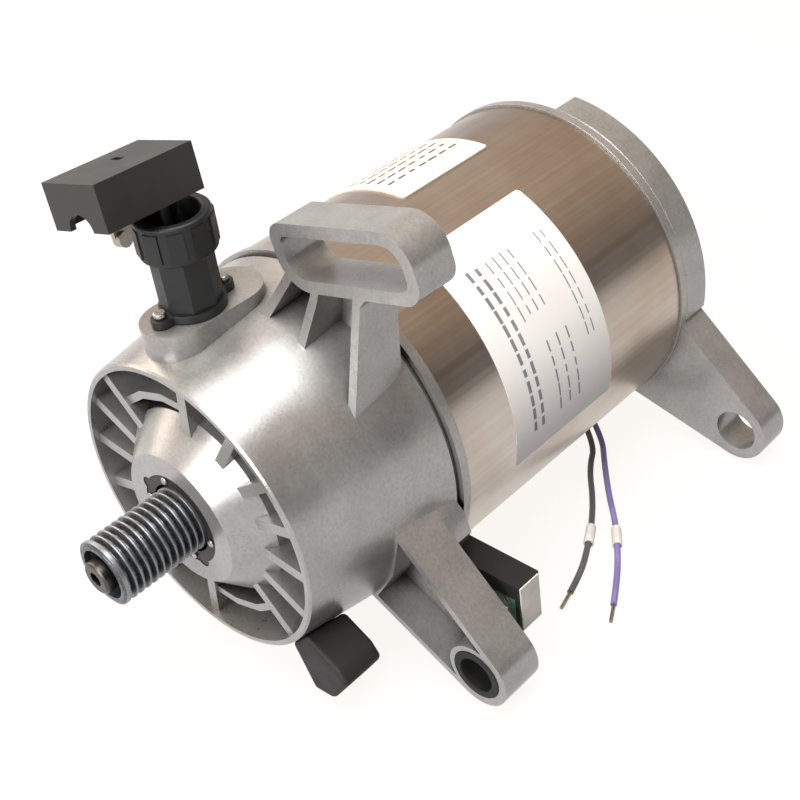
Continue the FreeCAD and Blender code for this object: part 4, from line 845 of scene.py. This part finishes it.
# Ways of the two rear leads in millimetres. Both leave the tube past the same (x, z) places, each at its own
# station behind the rim, and then lie on the floor past (x, station behind the rim) places.
LEAD_EXIT = ((25.436, -40.706), (33.118, -53))
LEAD_LEVEL = -53
VIOLET_STATION = 142.5
VIOLET_WAY = ((42, 131.5), (53, 119), (62.5, 109.5), (70.5, 99.5), (77.5, 89.5), (83, 80))
VIOLET_LENGTH = 0.0925
GREY_STATION = 138.5
GREY_WAY = ((39.5, 126.5), (49.5, 115), (56.5, 105), (62, 95.5), (67, 85.5), (69.6, 76.5))
GREY_LENGTH = 0.0845


def lead_route(way, station):
    """The points that a lead runs past, from inside the tube to its bare end, in metres."""
    points = [(x, station, z) for x, z in LEAD_EXIT] + [(x, y, LEAD_LEVEL) for x, y in way]
    return [Vector((x * MM, RIM + y * MM, z * MM)) for x, y, z in points]


class MOTOR_OT_leads(bpy.types.Operator):
    """Lay the two rear leads with their marker sleeves and bare ends"""

    bl_idname = "motor.leads"
    bl_label = "Rear leads"

    def execute(self, context):
        leads = choices("motor_leads")
        dressed("lead_grommet", moulded_rubber(), 0.3 * MM)
        marker = moulded("marker_sleeve", leads.marker, 0.4 * MM, 0.4, 0.55)
        for name, colour, way, station, length in (
            ("violet", leads.violet, VIOLET_WAY, VIOLET_STATION, VIOLET_LENGTH),
            ("grey", leads.grey, GREY_WAY, GREY_STATION, GREY_LENGTH),
        ):
            route = lead_route(way, station)
            lead = self.jacket(name, colour, route)
            sleeve = dressed(name + "_sleeve", marker, 0.2 * MM)
            strands = self.bare_end(name, route)
        return {"FINISHED"}

    def jacket(self, name, colour, route):
        """Draws the lead's jacket along its route."""
        pvc = moulded(name + "_lead_pvc", colour, 0.5 * MM, 0.34, 0.5, strength=0.1)
        curve = bpy.data.curves.new(name + "_lead_looks", "CURVE")
        curve.dimensions = "3D"
        curve.bevel_depth = choices("motor_leads").diameter / 2
        curve.bevel_resolution = 5
        curve.use_fill_caps = True
        curve.resolution_u = 16
        spline = curve.splines.new("NURBS")
        spline.points.add(len(route) - 1)
        for point, where in zip(spline.points, route):
            point.co = (*where, 1)
        spline.order_u = 3
        spline.use_endpoint_u = True
        lead = place_object(name + "_lead_looks", curve)
        finish_piece(lead, pvc)
        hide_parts(name + "_lead")
        return lead

    def bare_end(self, name, route):
        """Sets the bare strands at the end of a route."""
        sizes = {
            "Count": choices("motor_leads").strands,
            "Spread": 0.42 * MM,
            "Radius": 0.2 * MM,
            "Length": 7 * MM,
        }
        copper = tinned_wire()
        strands = grow(name + "_strands_looks", strand_tree(copper, sizes), sizes)
        along = (route[-1] - route[-2]).normalized()
        turn = along.to_track_quat("Z", "Y").to_matrix().to_4x4()
        strands.data.transform(Matrix.Translation(route[-1] + along * sizes["Length"] / 2) @ turn)
        finish_piece(strands, copper)
        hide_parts(name + "_strands")
        return strands


# Where the sheets lie round the tube, from +X towards +Z, and their lift off it
LABEL_LOW, LABEL_TOP = math.radians(-12), math.radians(66)
PLATE_LOW, PLATE_TOP = math.radians(87), math.radians(127)
SHEET_LIFT = 0.02 * MM
INK_LIFT = 0.02 * MM


class MOTOR_OT_labels(bpy.types.Operator):
    """Put the blank paper label and the blank rating plate on the tube"""

    bl_idname = "motor.labels"
    bl_label = "Labels"

    def execute(self, context):
        labels = choices("motor_labels")
        front, back = labels.label_front, labels.label_back
        paper = tube_patch(
            "paper_label", front, back, LABEL_LOW, LABEL_TOP, SHEET_LIFT, labels.thickness, 1.5 * MM
        )
        finish_piece(paper, label_paper())
        plate = tube_patch(
            "rating_plate", labels.plate_front, labels.plate_back, PLATE_LOW, PLATE_TOP, SHEET_LIFT,
            labels.plate_thickness, 1.2 * MM,
        )
        finish_piece(plate, plate_aluminium())
        ink = printed_ink("printed_ink", labels.ink)
        heavy = printed_ink("heavy_ink", labels.plate_ink)
        lift = SHEET_LIFT + labels.thickness + INK_LIFT
        # pitch, stroke, length, setback from the label's front edge and drop from its top edge in millimetres
        for name, rows, bars, pitch, stroke, length, setback, drop in (
            ("label_heading", 2, 12, 3.5, 1.2, 54, 10.5, 39),
            ("label_entries", 4, 4, 3.1, 0.4, 21, 21, 23),
            ("label_notes", 3, 5, 4.4, 0.55, 24, 25, 53),
            ("label_foot", 2, 7, 2.6, 0.4, 36, 38.5, 31),
        ):
            place = front + setback * MM, LABEL_TOP, drop * MM, lift
            self.rule(name, ink, rows, bars, pitch * MM, stroke * MM, length * MM, place)
        lift = SHEET_LIFT + labels.plate_thickness + INK_LIFT
        place = (labels.plate_front + labels.plate_back) / 2, PLATE_TOP, 19 * MM, lift
        self.rule("plate_rules", heavy, 5, 7, 4.4 * MM, 1.1 * MM, 32 * MM, place, along=True)
        return {"FINISHED"}

    def rule(self, name, ink, rows, bars, pitch, stroke, length, place, along=False):
        """Rules rows of bars about a place: its station, the sheet's edge angle, its drop and its lift."""
        station, edge, drop, lift = place
        sizes = {
            "Rows": rows,
            "Bars": bars,
            "Depth": pitch * (rows - 1),
            "Length": length * (1 - 1 / bars),
            "Bar": length / bars,
            "Stroke": stroke,
        }
        lines = grow(name, ruled_line_tree(ink, sizes), sizes)
        for vertex in lines.data.vertices:
            across, run, rise = vertex.co
            if along:
                across, run = run, across
            vertex.co = on_tube(station + across, edge - (drop + run) / TUBE_RADIUS, lift + rise)
        if not along:
            lines.data.flip_normals()
        lines.data.update()
        finish_piece(lines, ink)


class MOTOR_OT_inside(bpy.types.Operator):
    """Give the parts inside the motor their materials"""

    bl_idname = "motor.inside"
    bl_label = "Inside parts"

    def execute(self, context):
        steel = ground_steel()
        race = ground_steel("bearing_steel", linear("#a9a9a7"), 0.2, 0.32)
        for end in ("front", "rear"):
            coat(end + "_bearing_outer", race)
            coat(end + "_bearing_inner", race)
        for node in ("rear_wave_washer", "brush_springs", "tie_bolts"):
            coat(node, steel)
        coat("front_circlip", blackened_steel())
        coat("armature_core", ground_steel("lamination_steel", linear("#8a8782"), 0.4, 0.55))
        coat("armature_winding", ground_steel("winding_copper", linear("#a5572c"), 0.25, 0.4))
        coat("commutator", ground_steel("commutator_copper", linear("#c17f52"), 0.25, 0.38))
        coat("field_magnets", moulded("sintered_ferrite", linear("#3d3d3f"), 0.6 * MM, 0.5, 0.65))
        coat("brush_boxes", ground_steel("formed_brass", linear("#c9a35a"), 0.25, 0.4))
        coat("brushes", moulded("pressed_graphite", linear("#36363a"), 0.6 * MM, 0.45, 0.6))
        coat("brush_plate", moulded("phenolic_sheet", linear("#7a5638"), 0.6 * MM, 0.4, 0.55))
        coat("encoder_disc", moulded_nylon())
        return {"FINISHED"}


# The studio, in metres: what the lamps aim at, and where each stands from there
LAMP_TARGET = Vector((0.005, 0.1, 0.0))
KEY_OFFSET = Vector((0.13, -0.05, 0.98))
FRONT_OFFSET = Vector((0.15, -0.9, 0.45))
SIDE_OFFSET = Vector((-0.82, -0.15, 0.55))
LAMP_SIZE = 0.6
SIDE_LAMP_SIZE = 0.8
FLOOR_REACH = 3.0
FLOOR_GAP = 0.1 * MM
FLOOR_GLOW = 0.93
DARK_SIDE = Vector((0.95, 0.15, -0.25))
# the camera that took the photo, as fitted to it: its right and backward axes, and its place
CAMERA_RIGHT = Vector((0.7264, 0.6769, -0.1189))
CAMERA_BACK = Vector((0.5995, -0.5394, 0.5913))
CAMERA_PLACE = Vector((0.2601, RIM - 0.1514, 0.2429))


class MOTOR_OT_stage(bpy.types.Operator):
    """Set the floor, the lamps, the world and the camera"""

    bl_idname = "motor.stage"
    bl_label = "Studio"

    def execute(self, context):
        self.floor()
        self.world(context.scene)
        stage = choices("motor_stage")
        self.lamp("key_lamp", KEY_OFFSET, LAMP_SIZE, stage.key_power)
        self.lamp("front_lamp", FRONT_OFFSET, LAMP_SIZE, stage.front_power)
        self.lamp("side_lamp", SIDE_OFFSET, SIDE_LAMP_SIZE, stage.side_power, linear("#ffeedd"))
        self.camera(context.scene)
        context.scene.view_settings.view_transform = "Standard"
        return {"FINISHED"}

    def floor(self):
        """Lays a floor of white paper that keeps its white, with soft shadows, wherever it is seen."""
        mesh = bpy.data.meshes.new("studio_floor")
        reach = FLOOR_REACH
        corners = [(-reach, -reach), (reach, -reach), (reach, reach), (-reach, reach)]
        mesh.from_pydata([(x, y, FLOOR_LEVEL - FLOOR_GAP) for x, y in corners], [], [(0, 1, 2, 3)])
        floor = place_object("studio_floor", mesh)
        material = bpy.data.materials.new("studio_paper")
        material.use_nodes = True
        tree = material.node_tree
        tree.nodes.clear()
        paper = add_node(tree, "ShaderNodeBsdfDiffuse", inputs={"Color": shade(choices("motor_stage").floor)})
        glow = add_node(tree, "ShaderNodeEmission", inputs={
            "Color": shade(linear("#fffbf6")), "Strength": FLOOR_GLOW})
        glowing = add_node(tree, "ShaderNodeAddShader")
        tree.links.new(paper.outputs["BSDF"], glowing.inputs[0])
        tree.links.new(glow.outputs["Emission"], glowing.inputs[1])
        rays = add_node(tree, "ShaderNodeLightPath")
        seen = rays.outputs["Is Camera Ray"]
        for kind in ("Is Glossy Ray", "Is Transmission Ray"):
            either = add_node(tree, "ShaderNodeMath", {"operation": "MAXIMUM"})
            tree.links.new(seen, either.inputs[0])
            tree.links.new(rays.outputs[kind], either.inputs[1])
            seen = either.outputs["Value"]
        mix = add_node(tree, "ShaderNodeMixShader", inputs={"Fac": seen})
        tree.links.new(paper.outputs["BSDF"], mix.inputs[1])
        tree.links.new(glowing.outputs["Shader"], mix.inputs[2])
        add_node(tree, "ShaderNodeOutputMaterial", inputs={"Surface": mix.outputs["Shader"]})
        mesh.materials.append(material)

    def world(self, scene):
        """Sets a room that darkens towards one side, cool near the horizon and warm overhead."""
        world = bpy.data.worlds.new("studio_air")
        scene.world = world
        world.use_nodes = True
        tree = world.node_tree
        tree.nodes.clear()
        facing = add_node(tree, "ShaderNodeTexCoord").outputs["Generated"]
        away = add_node(tree, "ShaderNodeVectorMath", {"operation": "DOT_PRODUCT"})
        tree.links.new(facing, away.inputs[0])
        away.inputs[1].default_value = DARK_SIDE.normalized()
        room = add_node(tree, "ShaderNodeMapRange", inputs={
            "Value": away.outputs["Value"], "From Min": -0.7, "From Max": 0.9})
        tone = ramp(tree, room.outputs["Result"], [
            (0.0, linear("#dcd8d4")), (0.72, linear("#b4ada6")), (1.0, linear("#45413d"))])
        height = add_node(tree, "ShaderNodeSeparateXYZ", inputs={"Vector": facing})
        tint = ramp(tree, height.outputs["Z"], [(0.15, linear("#f2f5ff")), (0.6, linear("#ffecd8"))])
        air = add_node(tree, "ShaderNodeBackground", inputs={
            "Color": multiplied(tree, tone, tint), "Strength": 1.0})
        add_node(tree, "ShaderNodeOutputWorld", inputs={"Surface": air.outputs["Background"]})

    def lamp(self, name, offset, size, power, colour=(1, 1, 1)):
        """Hangs a soft square lamp that faces the motor."""
        light = bpy.data.lights.new(name, "AREA")
        light.size = size
        light.energy = power
        light.color = colour
        item = place_object(name, light)
        item.location = LAMP_TARGET + offset
        item.rotation_euler = (-offset).to_track_quat("-Z", "Y").to_euler()

    def camera(self, scene):
        """Sets the camera where the photo was taken."""
        data = bpy.data.cameras.new("photo_camera")
        data.lens = choices("motor_stage").lens
        data.sensor_width = 36
        data.clip_start = 0.01
        item = place_object("photo_camera", data)
        back = CAMERA_BACK.normalized()
        up = back.cross(CAMERA_RIGHT.normalized()).normalized()
        right = up.cross(back)
        turn = Matrix((right, up, back)).transposed().to_4x4()
        item.matrix_world = Matrix.Translation(CAMERA_PLACE) @ turn
        scene.camera = item


GROUPS = {
    "motor_metals": MotorMetals,
    "motor_plastics": MotorPlastics,
    "motor_leads": MotorLeads,
    "motor_labels": MotorLabels,
    "motor_stage": MotorStage,
}
OPERATORS = (
    MOTOR_OT_stage,
    MOTOR_OT_leads,
    MOTOR_OT_castings,
    MOTOR_OT_tube,
    MOTOR_OT_rotor,
    MOTOR_OT_seal,
    MOTOR_OT_gland,
    MOTOR_OT_plug,
    MOTOR_OT_rubber,
    MOTOR_OT_encoder,
    MOTOR_OT_labels,
    MOTOR_OT_inside,
)


class MOTOR_PT_door_motor(bpy.types.Panel):
    """Lists the pieces of the motor and the choices for them"""

    bl_label = "Door Motor"
    bl_idname = "MOTOR_PT_door_motor"
    bl_space_type = "VIEW_3D"
    bl_region_type = "UI"
    bl_category = "Door Motor"

    def draw(self, context):
        for operator in OPERATORS:
            self.layout.operator(operator.bl_idname)
        for name, group in GROUPS.items():
            box = self.layout.box()
            for choice in group.__annotations__:
                box.prop(getattr(context.scene, name), choice)


def register():
    for name, group in GROUPS.items():
        bpy.utils.register_class(group)
        setattr(bpy.types.Scene, name, bpy.props.PointerProperty(type=group))
    for operator in OPERATORS:
        bpy.utils.register_class(operator)
    bpy.utils.register_class(MOTOR_PT_door_motor)


def unregister():
    bpy.utils.unregister_class(MOTOR_PT_door_motor)
    for operator in reversed(OPERATORS):
        bpy.utils.unregister_class(operator)
    for name, group in GROUPS.items():
        delattr(bpy.types.Scene, name)
        bpy.utils.unregister_class(group)


def main():
    register()
    bpy.ops.motor.stage()
    bpy.ops.motor.leads()
    bpy.ops.motor.castings()
    bpy.ops.motor.tube()
    bpy.ops.motor.rotor()
    bpy.ops.motor.seal()
    bpy.ops.motor.gland()
    bpy.ops.motor.plug()
    bpy.ops.motor.rubber()
    bpy.ops.motor.encoder()
    bpy.ops.motor.labels()
    bpy.ops.motor.inside()


if __name__ == "__main__":
    main()
